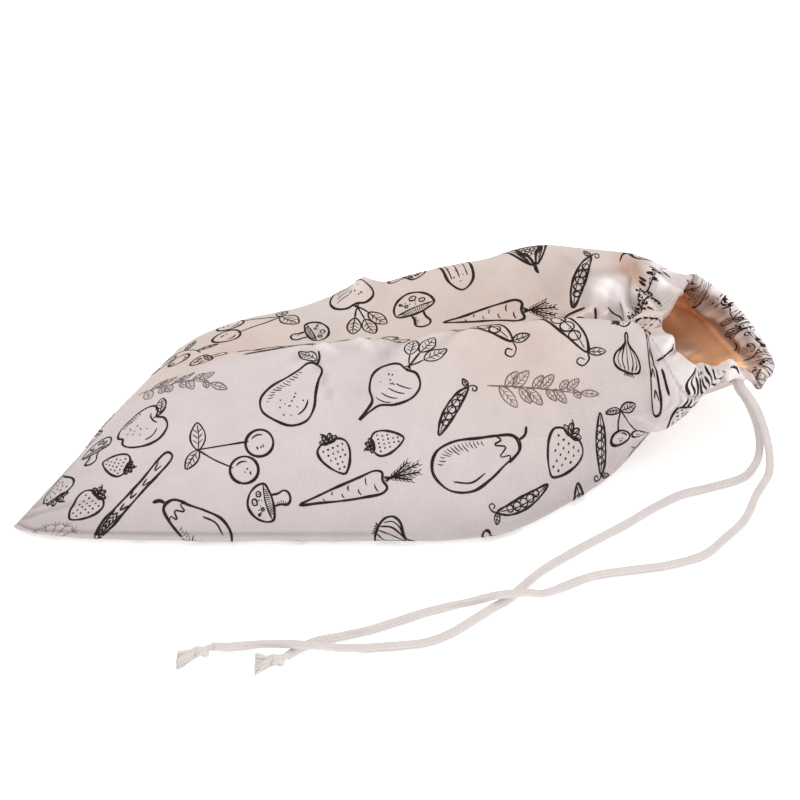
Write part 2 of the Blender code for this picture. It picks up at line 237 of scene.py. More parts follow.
bag = dict(
    sheet=1.1,  # cloth with its turned edges, as thick as it looks
    hem=4.6,
    foldFrom=0.9,  # on the mouth's scale: the hem rounds over to its fold past here
    foldRound=0.07,
    seam=2.6,  # the closed end's two layers
    floorGap=0.15,
    bodyStep=3.7,  # between rings
    neckStep=1.8,
    neckLength=44.0,  # the last of the body, with rings as close as neckStep
    mouthStep=1.2,
    around=(104, 62, 44, 210),  # samples: near edge to ridge, to hump, to far edge, underside
    solidAround=(20, 16, 12, 48),  # the same stretches in the solid, where its pleats are set
    sectionColumns=(
        "xNear", "xFar", "nearY", "nearZ", "bulge", "ridgeY", "ridgeZ",
        "valleyY", "valleyZ", "humpY", "humpZ", "farY", "farZ", "lift",
    ),
    sections=(
        (-191, -112, 8, 3.0, 2, 84, 17, 124, 16, 164, 14, 205, 4.0, 0),
        (-171, -97, 3, 3.5, 5, 80, 36, 121, 34, 166, 28, 208, 6.0, 0),
        (-140, -74, 0, 4.0, 8, 80, 53, 121, 46, 166, 39, 212, 9.0, 0),
        (-100, -48, -2, 4.5, 9, 84, 62, 121, 49, 165, 47, 216, 12, 0),
        (-55, -22, -2, 4.5, 9, 87, 67.5, 122, 52, 167, 56, 219, 14, 0),
        (-5, 10, -2, 4.5, 9, 89, 70.5, 125, 54, 169, 64, 222, 15, 0),
        (50, 50, 4, 4.5, 9, 95, 74, 130, 55, 173, 71, 221, 16, 0),
        (84, 82, 31, 4.5, 8, 99, 76, 134, 52, 176, 75, 215, 18, 0),
        (112, 110, 62, 6.0, 7, 97, 75.5, 136, 50, 177, 74, 205, 22, 1),
    ),
    seamNear=(-198.5, 15),
    seamFar=(-122, 203),
    underNear=0.08,
    underFar=0.12,
    mouth={
        # line along the bag: neck, stitch line, fold
        "near": ((144, 100, 21), (172, 108, 36), (180, 97, 46)),
        "face": ((136, 62, 33), (151, 72, 48), (152, 76, 62)),
        "ridge": ((125, 94, 75.5), (133, 90, 68.5), (143, 88, 71)),
        "valley": ((118, 128, 54), (124, 120, 58), (138, 118, 64)),
        "hump": ((130, 177, 73), (144, 175, 66), (157, 162, 66)),
        "far": ((147, 192, 38), (161, 183, 45), (168, 174, 58)),
        "underFar": ((151, 178, 18), (175, 169, 31), (184, 165, 47)),
        "underMid": ((149, 145, 11), (186, 148, 26), (195, 144, 40)),
        "underNear": ((147, 115, 14), (188, 124, 28), (199, 116, 37)),
    },
    insideFrom=4,  # the ring where the inner skin starts
    insideEvery=5,  # rings of the body that the inner skin skips
    fineClear=0.5,  # keeps the smooth inner skin under the fine gathers
    deepInset=5.0,  # the body's inner skin lies this far in, clear of every crease
    deepFrom=(25.0, 90.0, 290.0, 302.0),
    # the near side's seam: from the edge, width, depth, length along the bag, and how softly it ends
    edgeSeam=(3.0, 1.1, 0.8, 190.0, 40.0),
    edgeSwell=(0.8, 0.6),  # the swell beside it: from the edge, and its share of the seam's depth
    ripples=((0.55, 26.0), (0.20, 9.0)),  # height and reach of handled cotton's soft unevenness
    fullFrom=50.0,  # the girth is measured past this distance along the bag
    bareFrom=1.5,  # the inside is bare cloth up to this far past the stitch line
)
lineNames = tuple(bag["mouth"])

gathers = dict(
    start=0.2,  # on the mouth's scale: 0 at the last section, 1 at the fold
    hemStart=0.64,
    hemBlend=0.14,
    rise=1.5,  # how late the pleats rise towards the stitch line
    pleats=24,
    pleatShares=(0.72, 0.28),  # of their depth: even round the mouth, and drifting
    driftCounts=(5, 3),
    driftStart=0.6,
    crest=(1.5, 0.7, 0.95),  # of a fine gather: its height, how narrow its groove is, and its sink
    # slow waves round the mouth: how strong, how many, and where they start
    spacing=((0.3, 9, 0.0), (0.25, 23, 1.0)),
    lean=((1.6, 6, 0.8),),
    depth=((0.3, 17, 0.4),),
    meanDepth=0.8,
    reach=((8, 9, 2.0), (5, 23, 0.0)),  # mm from the stitch line into the body
    meanReach=12,
    leastReach=3.0,
    reachFade=1.4,
    stitchWidth=0.025,  # on the mouth's scale
    # where the fine gathers slant: the middle, flat reach and soft reach in samples, and how much
    slants=((42, 26, 14, -10.5), (140, 0, 24, 14.0)),
    # place round the mouth (0 near line, 1 face, 2 ridge, 3 valley, 4 hump, 5 far, 6 to 8 underside),
    # depth of the pleats, depth of the fine gathers, gathers for each mm, depth of the stitch line
    rows=(
        (0.0, 0.1, 0.15, 0.48, 0.2),
        (0.24, 0.1, 0.30, 0.48, 0.3),
        (0.34, 0.5, 1.00, 0.185, 1.0),
        (1.18, 0.6, 1.05, 0.185, 1.1),
        (1.32, 0.3, 0.50, 0.46, 0.6),
        (1.48, 0.2, 0.05, 0.46, 0.2),
        (2.0, 0.0, 0.0, 0.30, 0.0),
        (2.25, 0.9, 0.4, 0.36, 0.6),
        (3.0, 2.2, 0.80, 0.42, 1.0),
        (3.5, 1.4, 0.70, 0.42, 1.0),
        (4.0, 0.6, 0.35, 0.34, 0.8),
        (5.0, 0.6, 0.42, 0.28, 0.8),
        (7.0, 0.7, 0.42, 0.28, 0.8),
        (8.5, 0.8, 0.45, 0.32, 0.8),
        (9.0, 0.1, 0.05, 0.30, 0.2),
    ),
)

creases = dict(
    fade=0.12,
    # samples round (1) or rings along (0) the bag over which a fold is felt for the painted fold shade and
    # highlight, and how strongly
    hollowReach=((2, 1), (5, 1), (1, 0), (3, 0)),
    hollowGain=0.9,
    steepness=3,  # how fast the body's creases come in on faces that turn up
    # where it starts and ends, its width, and its depth, less than 0 for a swell
    # the solid's own main creases and swells
    main={
        "ridgeTuck": ((-16, 62), (6, 106), 12.0, 2.6),
        "humpPinch": ((-24, 146), (-18, 192), 10.0, -3.0),
        "valleyPuff": ((103, 136), (112, 152), 11.0, -7.0),
        "behindPuff": ((84, 146), (96, 168), 10.0, 2.8),
        "hemTrough": ((121, 142), (131, 172), 8.0, 4.0),
        "nearGather": ((92, 58), (132, 66), 9.0, 2.6),
        "closedEndSag": ((-160, 60), (-110, 96), 16.0, 2.5),
    },
    # small tucks and ripples of the body
    fine={
        "ridgeNickLeft": ((-54, 80), (-38, 100), 4.0, 2.2),
        "ridgeNickMid": ((-10, 76), (2, 104), 4.5, 2.4),
        "ridgeNickRight": ((20, 82), (34, 106), 4.0, 2.0),
        "ridgeRoll": ((-40, 88), (-8, 90), 3.5, -0.8),
        "ridgeLobe": ((-46, 90), (-36, 82), 4.0, -2.6),
        "lobeUnder": ((-42, 74), (-37, 56), 2.2, 1.4),
        "ridgePoint": ((-22, 92), (-16, 84), 3.4, -2.4),
        "humpBead": ((-22, 160), (-18, 178), 3.4, -2.6),
        "besideBead": ((-11, 150), (-7, 186), 6.0, 0.9),
        "cornerFold": ((-196, 22), (-150, 16), 2.6, 1.0),
        "cornerTuck": ((-192, 34), (-176, 26), 2.4, 0.8),
        "faceSagLeft": ((-120, 20), (-70, 70), 15.0, 1.4),
        "faceSagMid": ((-20, 18), (-34, 74), 16.0, 1.3),
        "faceSagRight": ((50, 22), (72, 84), 15.0, 1.6),
        "faceSwell": ((10, 30), (30, 80), 14.0, -1.2),
        "humpSagLeft": ((-70, 140), (-52, 190), 13.0, 0.9),
        "humpSagRight": ((36, 140), (50, 196), 12.0, 1.6),
        "puffTopEdge": ((101, 161), (122, 164), 2.6, 1.9),
        "puffLeftEdge": ((98, 145), (99, 160), 2.4, 2.0),
        "puffRightEdge": ((123, 146), (125, 160), 2.4, 2.4),
        "crumpleLong": ((86, 135), (101, 141), 3.0, -3.4),
        "crumpleShade": ((104, 143), (104.5, 135), 1.8, 3.4),
        "crumplePoint": ((108, 135), (113, 142), 2.8, -3.0),
        "crumpleCut": ((117, 146), (118, 134), 1.9, 3.2),
        "crumpleBand": ((120, 146), (122, 135), 2.4, -2.4),
        "crumpleGroove": ((125, 150), (126, 136), 1.9, 3.2),
        "crumpleStrap": ((129, 153), (136, 138), 2.8, -2.4),
        "crumpleSmall": ((78, 133), (88, 141), 2.6, 2.2),
    },
    # folds of the neck and the hem, in all three directions
    mouth={
        "neckFold": ((136, 90, 71), (128, 80, 58), 5.0, 3.6),
        "neckFoldLow": ((128, 80, 58), (131, 64, 38), 6.0, 2.6),
        "neckFoldUp": ((118, 74, 60), (124, 60, 40), 6.0, 1.8),
        "underLobe": ((146, 85, 70), (134, 77, 64), 2.4, 4.2),
        "tipSide": ((136, 72, 65), (140, 62, 51), 2.4, 2.8),
        "lobeEdge": ((155, 77, 62), (149, 64, 48), 2.2, 4.2),
        "lipRoll": ((136, 170, 67), (147, 139, 66), 3.4, -4.2),
        "underLip": ((130, 161, 63), (139, 136, 62), 2.4, 3.4),
        "strapFold": ((122, 126, 58), (136, 126, 65), 2.2, 2.4),
        "knobRoll": ((175, 94, 47), (173, 101, 40), 4.6, -3.0),
        "knobSide": ((169.5, 89, 54), (169.5, 102, 38), 1.8, 3.8),
        "knobUnder": ((184, 98, 47), (181, 103, 40), 2.4, 2.4),
        "insideTuck": ((150, 150, 13), (188, 128, 28), 4.5, 2.0),
        "cornerFlap": ((196, 112, 38), (187, 116, 27), 2.6, 1.8),
    },
    # folds of the inner skin alone, towards the hollow
    inside={
        "longFold": ((148, 184, 30), (183, 136, 25), 4.0, 5.6),
        "midSwell": ((144, 174, 14), (160, 160, 15), 7.0, 5.0),
        "farFold": ((144, 191, 40), (172, 176, 38), 3.6, 3.6),
        "farTuck": ((164, 183, 44), (188, 151, 33), 3.0, 3.6),
        "deepFold": ((132, 186, 20), (146, 188, 32), 5.0, 4.0),
        "lowFold": ((160, 150, 15), (184, 128, 27), 3.6, 4.2),
    },
)

pushes = dict(
    columns=("x", "y", "z", "reach", "dx", "dy", "dz"),
    rows={
        "exitKnob": (174.5, 94, 48, 5.8, 0.0, -1.2, 8.0),
        "besideKnob": (184.5, 99.5, 45, 5.5, 0.0, 2.0, -6.0),
        "exitSleeve": (182, 98, 40, 4.5, 3.0, -3.0, -4.0),
        "nearRim": (161, 83, 57, 7.0, -2.5, 3.0, 4.0),
        "neckTip": (150, 74, 60, 5.0, 3.5, -2.5, 1.5),
        "pleatTuck": (157, 79, 60, 4.0, -1.0, 3.0, -1.5),
        "ridgeLobe": (134, 89, 69, 7.0, 0.5, -1.0, 4.0),
        "ridgeTip": (141, 89, 71, 4.5, 0.5, -1.0, 1.0),
        "rimNotch": (146, 84, 70, 3.5, -3.5, 0.5, -1.5),
        "whiteLip": (147, 144, 65, 7.0, 4.0, -1.0, 1.0),
        "farBandTop": (160, 166, 65, 8.0, 0.0, 2.0, 2.0),
        "cornerFlap": (193, 107, 37, 7.0, -2.0, -3.5, -8.0),
        "puff": (112, 152, 62, 9.0, 0.0, -1.0, 4.0),
        "humpRise": (68, 178, 74, 50.0, 0.0, 1.0, 5.2),
    },
)

paintedShading = dict(
    # painted shade and highlight on the cloth: 0 painted highlight, 0.25 plain, 0.6 painted warm shade, 1
    # deep painted tan shade
    plain=0.25,
    # painted warm shade in the valley behind the ridge
    behindRidge=0.34,
    pastRidge=2.0,
    setIn=5.0,
    hemFade=(0.05, 0.12),  # on the mouth's scale: past the stitch line, and before the fold
    hemInside=0.8,  # how much painted warm shade the hem's inner side gets
    tableShade=14.0,  # height over which the cloth darkens towards the table
    # place, reach, and how much painted warm shade it adds, less than 0 for painted highlight
    spots={
        "mouthFoldShadeAndHighlight": ((124, 170, 67), 10.0, 0.8),
        "ridgeRight": ((64, 84, 68), 46.0, 0.42),
        "humpLeft": ((-38, 154, 54), 16.0, -0.3),
        "neckFold": ((127, 80, 58), 8.0, 0.35),
        "valleyLeft": ((-92, 118, 48), 22.0, 0.15),
        "puff": ((112, 152, 64), 12.0, -0.75),
        "lip": ((143, 154, 68), 9.0, -0.6),
        "farShoulder": ((141, 178, 67), 13.0, -0.7),
        "farHem": ((170, 172, 58), 16.0, -0.7),
        "rightHem": ((190, 150, 45), 18.0, -0.7),
        "cornerHem": ((198, 120, 38), 12.0, -0.4),
        "ridgeLobe": ((139, 86, 69), 7.0, -0.25),
        "neckTip": ((148, 76, 57), 8.0, -0.25),
        "knob": ((176, 94, 47), 8.0, -0.35),
        "insideLow": ((152, 168, 16), 15.0, -0.7),
    },
)


def sectionLines(row):
    s = dict(zip(bag["sectionColumns"], row))
    width = s["farY"] - s["nearY"]
    rise, run = s["ridgeZ"] - s["nearZ"], s["ridgeY"] - s["nearY"]
    slope = math.hypot(rise, run)
    yz = {
        "near": (s["nearY"], s["nearZ"] + s["lift"]),
        "face": (
            (s["nearY"] + s["ridgeY"]) / 2 - s["bulge"] * rise / slope,
            (s["nearZ"] + s["ridgeZ"]) / 2 + s["bulge"] * run / slope,
        ),
        "ridge": (s["ridgeY"], s["ridgeZ"]),
        "valley": (s["valleyY"], s["valleyZ"]),
        "hump": (s["humpY"], s["humpZ"]),
        "far": (s["farY"], s["farZ"]),
        "underFar": (s["farY"] - bag["underFar"] * width, s["lift"]),
        "underMid": (s["nearY"] + width / 2, s["lift"]),
        "underNear": (s["nearY"] + bag["underNear"] * width, s["lift"]),
    }
    slant = (s["xFar"] - s["xNear"]) / width
    places = (yz[name] for name in lineNames)
    return np.array([(s["xNear"] + slant * (y - s["nearY"]), y, z) for y, z in places])


def ringOf(lines, counts, fine=24):
    path = smoothPath(lines, fine, closed=True)
    fixed = [lineNames.index(name) * fine for name in ("ridge", "hump", "far")]
    marks = [0] + fixed + [len(path) - 1]
    return np.vstack([evenSteps(path[a:b + 1], n)[:-1] for a, b, n in zip(marks, marks[1:], counts)])


def endRing(counts, inset, level):
    # the closed end's line from its near to its far corner and back, in samples that meet in pairs
    top, under = sum(counts[:3]), counts[3]
    near, far = np.array(bag["seamNear"], float), np.array(bag["seamFar"], float)
    run = (far - near) / np.linalg.norm(far - near)
    near, far = near + run * inset[1], far - run * inset[1]
    ring = []
    for i in range(top + under):
        share = i / top if i <= top else 1 - (i - top) / under
        x, y = near + (far - near) * share
        side = 0.5 if i in (0, top) else float(i < top)
        ring.append((x + inset[0], y, side * bag["seam"] if level is None else level))
    return np.array(ring)


def smoothRings():
    # the bag's smooth outer face: rings, each ring's distance along the bag and its place in the mouth
    counts = bag["around"]
    rows = [endRing(counts, (0.0, 0.0), None)]
    rows += [ringOf(sectionLines(row), counts) for row in bag["sections"]]
    columns = 3
    for column in range(columns):
        rows.append(ringOf(np.array([bag["mouth"][name][column] for name in lineNames], float), counts))
    rows = np.array(rows)
    gaps = np.linalg.norm(np.diff(rows, axis=0), axis=2).mean(axis=1)
    knots = np.concatenate([[0.0], np.cumsum(gaps)])
    slopes = slopesAt(rows, knots, False)
    neck = len(rows) - columns
    marks = (0.0, knots[neck - 1] - bag["neckLength"], knots[neck - 1], knots[-1])
    steps = (bag["bodyStep"], bag["neckStep"], bag["mouthStep"])
    runs = [np.linspace(a, b, round((b - a) / step) + 1)[1:] for a, b, step in zip(marks, marks[1:], steps)]
    along = np.concatenate([[0.0], *runs])
    rings, mouth = [], []
    for place in along:
        i = min(int(np.searchsorted(knots, place, side="right")) - 1, len(rows) - 2)
        t = (place - knots[i]) / gaps[i]
        rings.append(blendCubic(rows[i], rows[i + 1], slopes[i], slopes[i + 1], gaps[i], t))
        mouth.append(max(0.0, (i + t - neck + 1) / columns))
    rings = np.array(rings)
    rings[:, :, 2] = np.maximum(rings[:, :, 2], 0.0)
    return rings, along, np.array(mouth)


def facing(rings):
    along = np.gradient(rings, axis=0)
    around = (np.roll(rings, -1, axis=1) - np.roll(rings, 1, axis=1)) / 2
    normal = np.cross(along, around)
    return normal / np.maximum(np.linalg.norm(normal, axis=2, keepdims=True), 1e-9)


def creaseHeight(rings, rows):
    height = np.zeros(rings.shape[:2])
    for start, end, width, depth in rows.values():
        start = np.array(start, float)
        run = np.array(end) - start
        offset = rings[:, :, :len(start)] - start
        share = np.clip((offset @ run) / (run @ run), 0.0, 1.0)
        away = np.linalg.norm(offset - share[:, :, None] * run, axis=2)
        fade = np.sqrt(np.clip(4 * (share + creases["fade"]) * (1 + creases["fade"] - share), 0.0, 1.0))
        height -= depth * fade * np.exp(-(away / width) ** 2)
    return height


def pushed(rings):
    out = rings.copy()
    for row in pushes["rows"].values():
        p = dict(zip(pushes["columns"], row))
        away = np.linalg.norm(rings - np.array([p["x"], p["y"], p["z"]]), axis=2)
        out += np.exp(-(away / p["reach"]) ** 2)[:, :, None] * np.array([p["dx"], p["dy"], p["dz"]])
    return out


def lineMarks():
    # the samples round the bag where its lines run, and the near line again at the end
    near, ridge, hump, far, end = np.cumsum((0,) + bag["around"])
    under = [far + (end - far) * share for share in (0.25, 0.5, 0.75)]
    return [near, (near + ridge) / 2, ridge, (ridge + hump) / 2, hump, far, *under, end]


def roundMouth(column):
    place = np.interp(np.arange(sum(bag["around"])), lineMarks(), np.arange(len(lineNames) + 1))
    return np.interp(place, [row[0] for row in gathers["rows"]], [row[column] for row in gathers["rows"]])


def ringWaves(share, rows, mean=0.0):
    # slow waves round the mouth, about their mean
    out = mean
    for amount, count, start in rows:
        out = out + amount * np.sin(2 * math.pi * count * share + start)
    return out


def pleatWave():
    # the solid's pleats: each falls on every fourth of its samples
    marks = np.concatenate([[0], np.cumsum(bag["around"])])
    solidMarks = np.concatenate([[0], np.cumsum(bag["solidAround"])])
    i, count = np.interp(np.arange(marks[-1]), marks, solidMarks), solidMarks[-1]
    wave = np.cos(2 * math.pi * gathers["pleats"] * i / count)
    a, b = gathers["driftCounts"]
    drift = np.sin(2 * math.pi * a * i / count + gathers["driftStart"]) * np.cos(2 * math.pi * b * i / count)
    even, drifting = gathers["pleatShares"]
    return wave * (even + drifting * drift) * roundMouth(1)


def gatherField(base, mouth):
    # how many gathers lie between the near line and each place, with their slants
    hem = base[np.searchsorted(mouth, gathers["hemStart"])]
    steps = np.linalg.norm(np.roll(hem, -1, axis=0) - hem, axis=1)
    turns = np.concatenate([[0.0], np.cumsum(steps * roundMouth(3))])
    turns = turns[:-1] * round(turns[-1]) / turns[-1]
    share = np.arange(len(turns)) / len(turns)
    uneven = ringWaves(share, gathers["spacing"])
    lean = ringWaves(share, gathers["lean"])
    for middle, flat, reach, slant in gathers["slants"]:
        away = np.maximum(np.abs(np.arange(len(turns)) - middle) - flat, 0.0)
        lean += slant * np.exp(-(away / reach) ** 2)
    return turns + uneven + lean * (mouth - gathers["hemStart"])[:, None]


def fineWave(field, along, mouth):
    # round tops and narrow grooves that start at the stitch line, each with its own reach into the body
    height, narrow, sink = gathers["crest"]
    wave = height * np.abs(np.sin(math.pi * field)) ** narrow - sink
    share = np.arange(field.shape[1]) / field.shape[1]
    strength = roundMouth(2) * ringWaves(share, gathers["depth"], gathers["meanDepth"])
    stitch = np.interp(gathers["hemStart"], mouth, along)
    reach = np.maximum(ringWaves(share, gathers["reach"], gathers["meanReach"]), gathers["leastReach"])
    back = np.maximum(stitch - along, 0.0)[:, None]
    return wave * strength * np.exp(-(back / reach[None, :]) ** gathers["reachFade"])


def ripples(rings):
    # soft unevenness of handled cotton
    out = np.zeros(rings.shape[:2])
    for row in range(rings.shape[0]):
        for column in range(rings.shape[1]):
            place = Vector(rings[row, column])
            out[row, column] = sum(height * noise.noise(place / reach) for height, reach in bag["ripples"])
    return out


def roundTable(base, along, mouth):
    # distance round the bag at each sample, measured on the full part of the body
    body = base[(mouth <= 0.0) & (along > bag["fullFrom"])]
    steps = np.linalg.norm(np.roll(body, -1, axis=1) - body, axis=2).mean(axis=0)
    return np.concatenate([[0.0], np.cumsum(steps)])


def edgeSeam(around, along):
    fromEdge, width, depth, length, fade = bag["edgeSeam"]
    swellFrom, swell = bag["edgeSwell"]
    place = around[:-1]
    groove = np.exp(-((place - fromEdge) / width) ** 2) - swell * np.exp(-((place - swellFrom) / width) ** 2)
    return -depth * groove[None, :] * np.clip((length - along) / fade, 0.0, 1.0)[:, None]


def clothSurface():
    base, along, mouth = smoothRings()
    around = roundTable(base, along, mouth)
    normal = facing(base)
    rings = pushed(base)
    rise = (mouth - gathers["start"]) / (gathers["hemStart"] - gathers["start"])
    gather = np.clip(rise, 0.0, 1.0) ** gathers["rise"]
    field = gatherField(base, mouth)
    fine = fineWave(field, along, mouth)
    roll = np.clip((mouth - gathers["hemStart"]) / gathers["hemBlend"], 0.0, 1.0)
    upward = np.clip(normal[:, :, 2] * creases["steepness"], 0.0, 1.0)
    pleats = gather[:, None] * pleatWave()[None, :]
    height = ripples(base) + edgeSeam(around, along)
    height += (creaseHeight(base, creases["main"]) + creaseHeight(base, creases["fine"])) * upward
    height += creaseHeight(base, creases["mouth"])
    stitchLine = np.exp(-((mouth - gathers["hemStart"]) / gathers["stitchWidth"]) ** 2)
    height -= stitchLine[:, None] * roundMouth(4)[None, :]
    wall = bag["sheet"] + (bag["hem"] - bag["sheet"]) * roll
    end = np.clip((1.0 - mouth) / bag["foldRound"], 0.0, 1.0)
    rounded = bag["sheet"] + (wall - bag["sheet"]) * np.sqrt(1 - (1 - end) ** 2)
    wall = np.where(mouth > bag["foldFrom"], rounded, wall)
    wall += bag["fineClear"] * (1.0 - roll)
    wall += bag["deepInset"] * np.interp(along, bag["deepFrom"], (0.0, 1.0, 1.0, 0.0))
    dips = gather[:, None] * (roundMouth(1) + roundMouth(2))[None, :] * (1.0 - roll)[:, None]
    skins = []
    for waves in (pleats + fine, (pleats + fine) * roll[:, None]):
        skin = rings + normal * (height + waves)[:, :, None]
        skin[:, :, 2] = np.maximum(skin[:, :, 2], bag["floorGap"])
        skins.append(skin)
    outer = skins[0]
    inner = skins[1] - normal * (wall[:, None] + dips - creaseHeight(base, creases["inside"]))[:, :, None]
    return dict(
        outer=outer, inner=inner, along=along, mouth=mouth, base=base, around=around, field=field,
        outerFoldShadeAndHighlight=hollowness(outer, base, 1.0), innerFoldShadeAndHighlight=hollowness(inner, base, -1.0),
    )


def hollowness(rings, smooth, side):
    # painted shade and highlight: above 0 in a fold, where the cloth is painted darker, and below 0 on a
    # crest, where it is painted lighter, against the smooth cloth
    total = np.zeros(rings.shape[:2])
    for sign, grid in ((1.0, rings), (-1.0, smooth)):
        normal = facing(grid) * side
        for reach, axis in creases["hollowReach"]:
            padded = np.pad(grid, ((reach, reach), (0, 0), (0, 0)), mode="edge")
            if axis == 0:
                ahead, behind = padded[2 * reach:], padded[:len(grid)]
            else:
                ahead, behind = np.roll(grid, -reach, axis=1), np.roll(grid, reach, axis=1)
            bend = ((ahead + behind - 2 * grid) * normal).sum(axis=2)
            total += sign * bend / np.maximum(np.linalg.norm(ahead - behind, axis=2), 1.0)
    return np.clip(creases["hollowGain"] * total, -1.0, 1.0)


def inFrame(points):
    return (points - tableOrigin) * mm


def wrapped(rings):
    return np.concatenate([rings, rings[:, :1]], axis=1)


def warmShadeAndHighlightOf(places):
    # painted warm shade behind the ridge and in the hollows, painted highlight on the puffs
    sections = [dict(zip(bag["sectionColumns"], row)) for row in bag["sections"]]
    ridgeY = np.interp(places[..., 0], [s["xNear"] for s in sections], [s["ridgeY"] for s in sections])
    setIn = np.clip((places[..., 1] - ridgeY - paintedShading["pastRidge"]) / paintedShading["setIn"], 0.0, 1.0)
    warmShadeAndHighlight = paintedShading["plain"] + paintedShading["behindRidge"] * setIn
    for spot, reach, amount in paintedShading["spots"].values():
        warmShadeAndHighlight += amount * np.exp(-(np.linalg.norm(places - spot, axis=-1) / reach) ** 2)
    return np.clip(warmShadeAndHighlight, 0.0, 1.0)


def clothPiece(surface, materials):
    mouth, along, around = surface["mouth"], surface["along"], surface["around"]
    counts, every = bag["around"], bag["insideEvery"]
    fine = along > bag["deepFrom"][2]
    lines = np.array([r for r in range(bag["insideFrom"], len(along)) if fine[r] or r % every == 1])
    stitch = np.interp(gathers["hemStart"], mouth, along)
    bm = bmesh.new()
    flat = bm.loops.layers.uv.new("flatCloth")
    layers = {name: bm.verts.layers.float.new(name) for name in ("warmShadeAndHighlight", "tableShade", "hollow")}
    skins = []
    outerSide = ("outer", np.arange(len(along)), (-1.0, 0.0), 1.0)
    innerSide = ("inner", lines, (7.0, 6.0), 3.0)
    for side, rows, end, gap in (outerSide, innerSide):
        places = wrapped(np.concatenate([endRing(counts, end, bag["seam"] / 2)[None], surface[side][rows]]))
        hollow = wrapped(np.concatenate([np.zeros((1, sum(counts))), surface[side + "FoldShadeAndHighlight"][rows]]))
        shade = np.exp(-(np.maximum(places[..., 2], 0.0) / paintedShading["tableShade"]) ** 1.5)
        warmShadeAndHighlight = warmShadeAndHighlightOf(places)
        if side == "inner":
            rise, fall = paintedShading["hemFade"]
            inHem = np.clip((mouth[rows] - gathers["hemStart"]) / rise, 0.0, 1.0)
            inHem = inHem * np.clip((1.0 - mouth[rows]) / fall, 0.0, 1.0)
            warmShadeAndHighlight[1:] = np.minimum(warmShadeAndHighlight[1:] + paintedShading["hemInside"] * inHem[:, None], 1.0)
        tints = dict(zip(layers.values(), (warmShadeAndHighlight, shade, hollow)))
        table = clothTable(around, [along[rows[0]] - gap, *along[rows]])
        skins.append(gridPiece(bm, inFrame(places), flat, table, tints))
    bmesh.ops.reverse_faces(bm, faces=skins[0])
    for face in skins[1]:
        deep = min(loop[flat].uv[1] for loop in face.loops)
        face.material_index = 1 if deep < (stitch + bag["bareFrom"]) * mm else 0
    bmesh.ops.remove_doubles(bm, verts=bm.verts, dist=2e-6)
    rims = [edge for edge in bm.edges if edge.is_boundary]
    print("cloth: rim edges", len(rims), "of", 2 * sum(counts))
    bmesh.ops.bridge_loops(bm, edges=rims)
    return finishPiece(bm, "bagCloth", materials)


def clothTable(around, along):
    return np.stack(np.meshgrid(np.asarray(around) * mm, np.asarray(along) * mm), axis=2)


def plainWeaveGroup():
    # woven cotton: thick and thin threads both ways, and a slow mottle
    group = bpy.data.node_groups.new("plainWeave", "ShaderNodeTree")
    for name, kind in (("Cloth", "Vector"), ("Threads", "Float"), ("Mottle", "Float")):
        group.interface.new_socket(name, in_out="INPUT", socket_type="NodeSocket" + kind)
    for name in ("Height", "Tone"):
        group.interface.new_socket(name, in_out="OUTPUT", socket_type="NodeSocketFloat")
    start, end = group.nodes.new("NodeGroupInput"), group.nodes.new("NodeGroupOutput")
    parts = addNode(group, "ShaderNodeSeparateXYZ", {0: start.outputs["Cloth"]})
    ways = [calc(group, "MULTIPLY", parts.outputs[axis], start.outputs["Threads"]) for axis in (0, 1)]
    threads = []
    for across, down, seed in ((0, 1, 0.0), (1, 0, 7.3)):
        run = calc(group, "MULTIPLY", ways[down], 0.08)
        place = addNode(group, "ShaderNodeCombineXYZ", {0: ways[across], 1: run, 2: seed}).outputs[0]
        threads.append(softNoise(group, place, 1.0, 1.5))
    both = calc(group, "MULTIPLY", calc(group, "ADD", *threads), 0.5)
    turns = [calc(group, "SINE", calc(group, "MULTIPLY", way, math.pi)) for way in ways]
    cross = calc(group, "MULTIPLY", calc(group, "MULTIPLY", *turns), 0.12)
    mottle = softNoise(group, start.outputs["Cloth"], 55.0, 3.0)
    slow = calc(group, "MULTIPLY", calc(group, "SUBTRACT", mottle, 0.5), start.outputs["Mottle"])
    group.links.new(calc(group, "ADD", both, cross), end.inputs["Height"])
    group.links.new(calc(group, "ADD", both, slow), end.inputs["Tone"])
    return group


weaves = dict(
    printedCotton=dict(
        threads=1500.0, mottle=0.9, bump=0.6, lift=0.0003, dark=0.92, light=1.08,
        # colours for the painted tones: painted highlight, plain cloth, painted warm shade, painted tan shade
        ramp=(
            (0.0, (0.80, 0.745, 0.735)), (0.25, (0.590, 0.528, 0.528)), (0.6, (0.590, 0.502, 0.465)),
            (1.0, (0.53, 0.375, 0.310)),
        ),
        # how much the painted fold shade darkens the folds and the painted highlight lightens the crests
        hollow=0.24,
    ),
    insideCotton=dict(
        threads=1500.0, mottle=1.8, bump=0.5, lift=0.0003, dark=0.86, light=1.14,
        # the inside's orange tan is painted light: it stands in for daylight through the thin cloth and light
        # bounced round the inside
        ramp=(
            (0.0, (0.80, 0.60, 0.48)), (0.25, (0.82, 0.51, 0.31)), (0.6, (0.80, 0.45, 0.235)),
            (1.0, (0.76, 0.39, 0.18)),
        ),
        # how much the painted fold shade darkens the folds and the painted highlight lightens the crests
        hollow=0.68,
        glow=(1.0, 0.32, 0.11), glowPower=0.03,  # a painted glow that stands in for daylight coming through the thin cloth
    ),
)


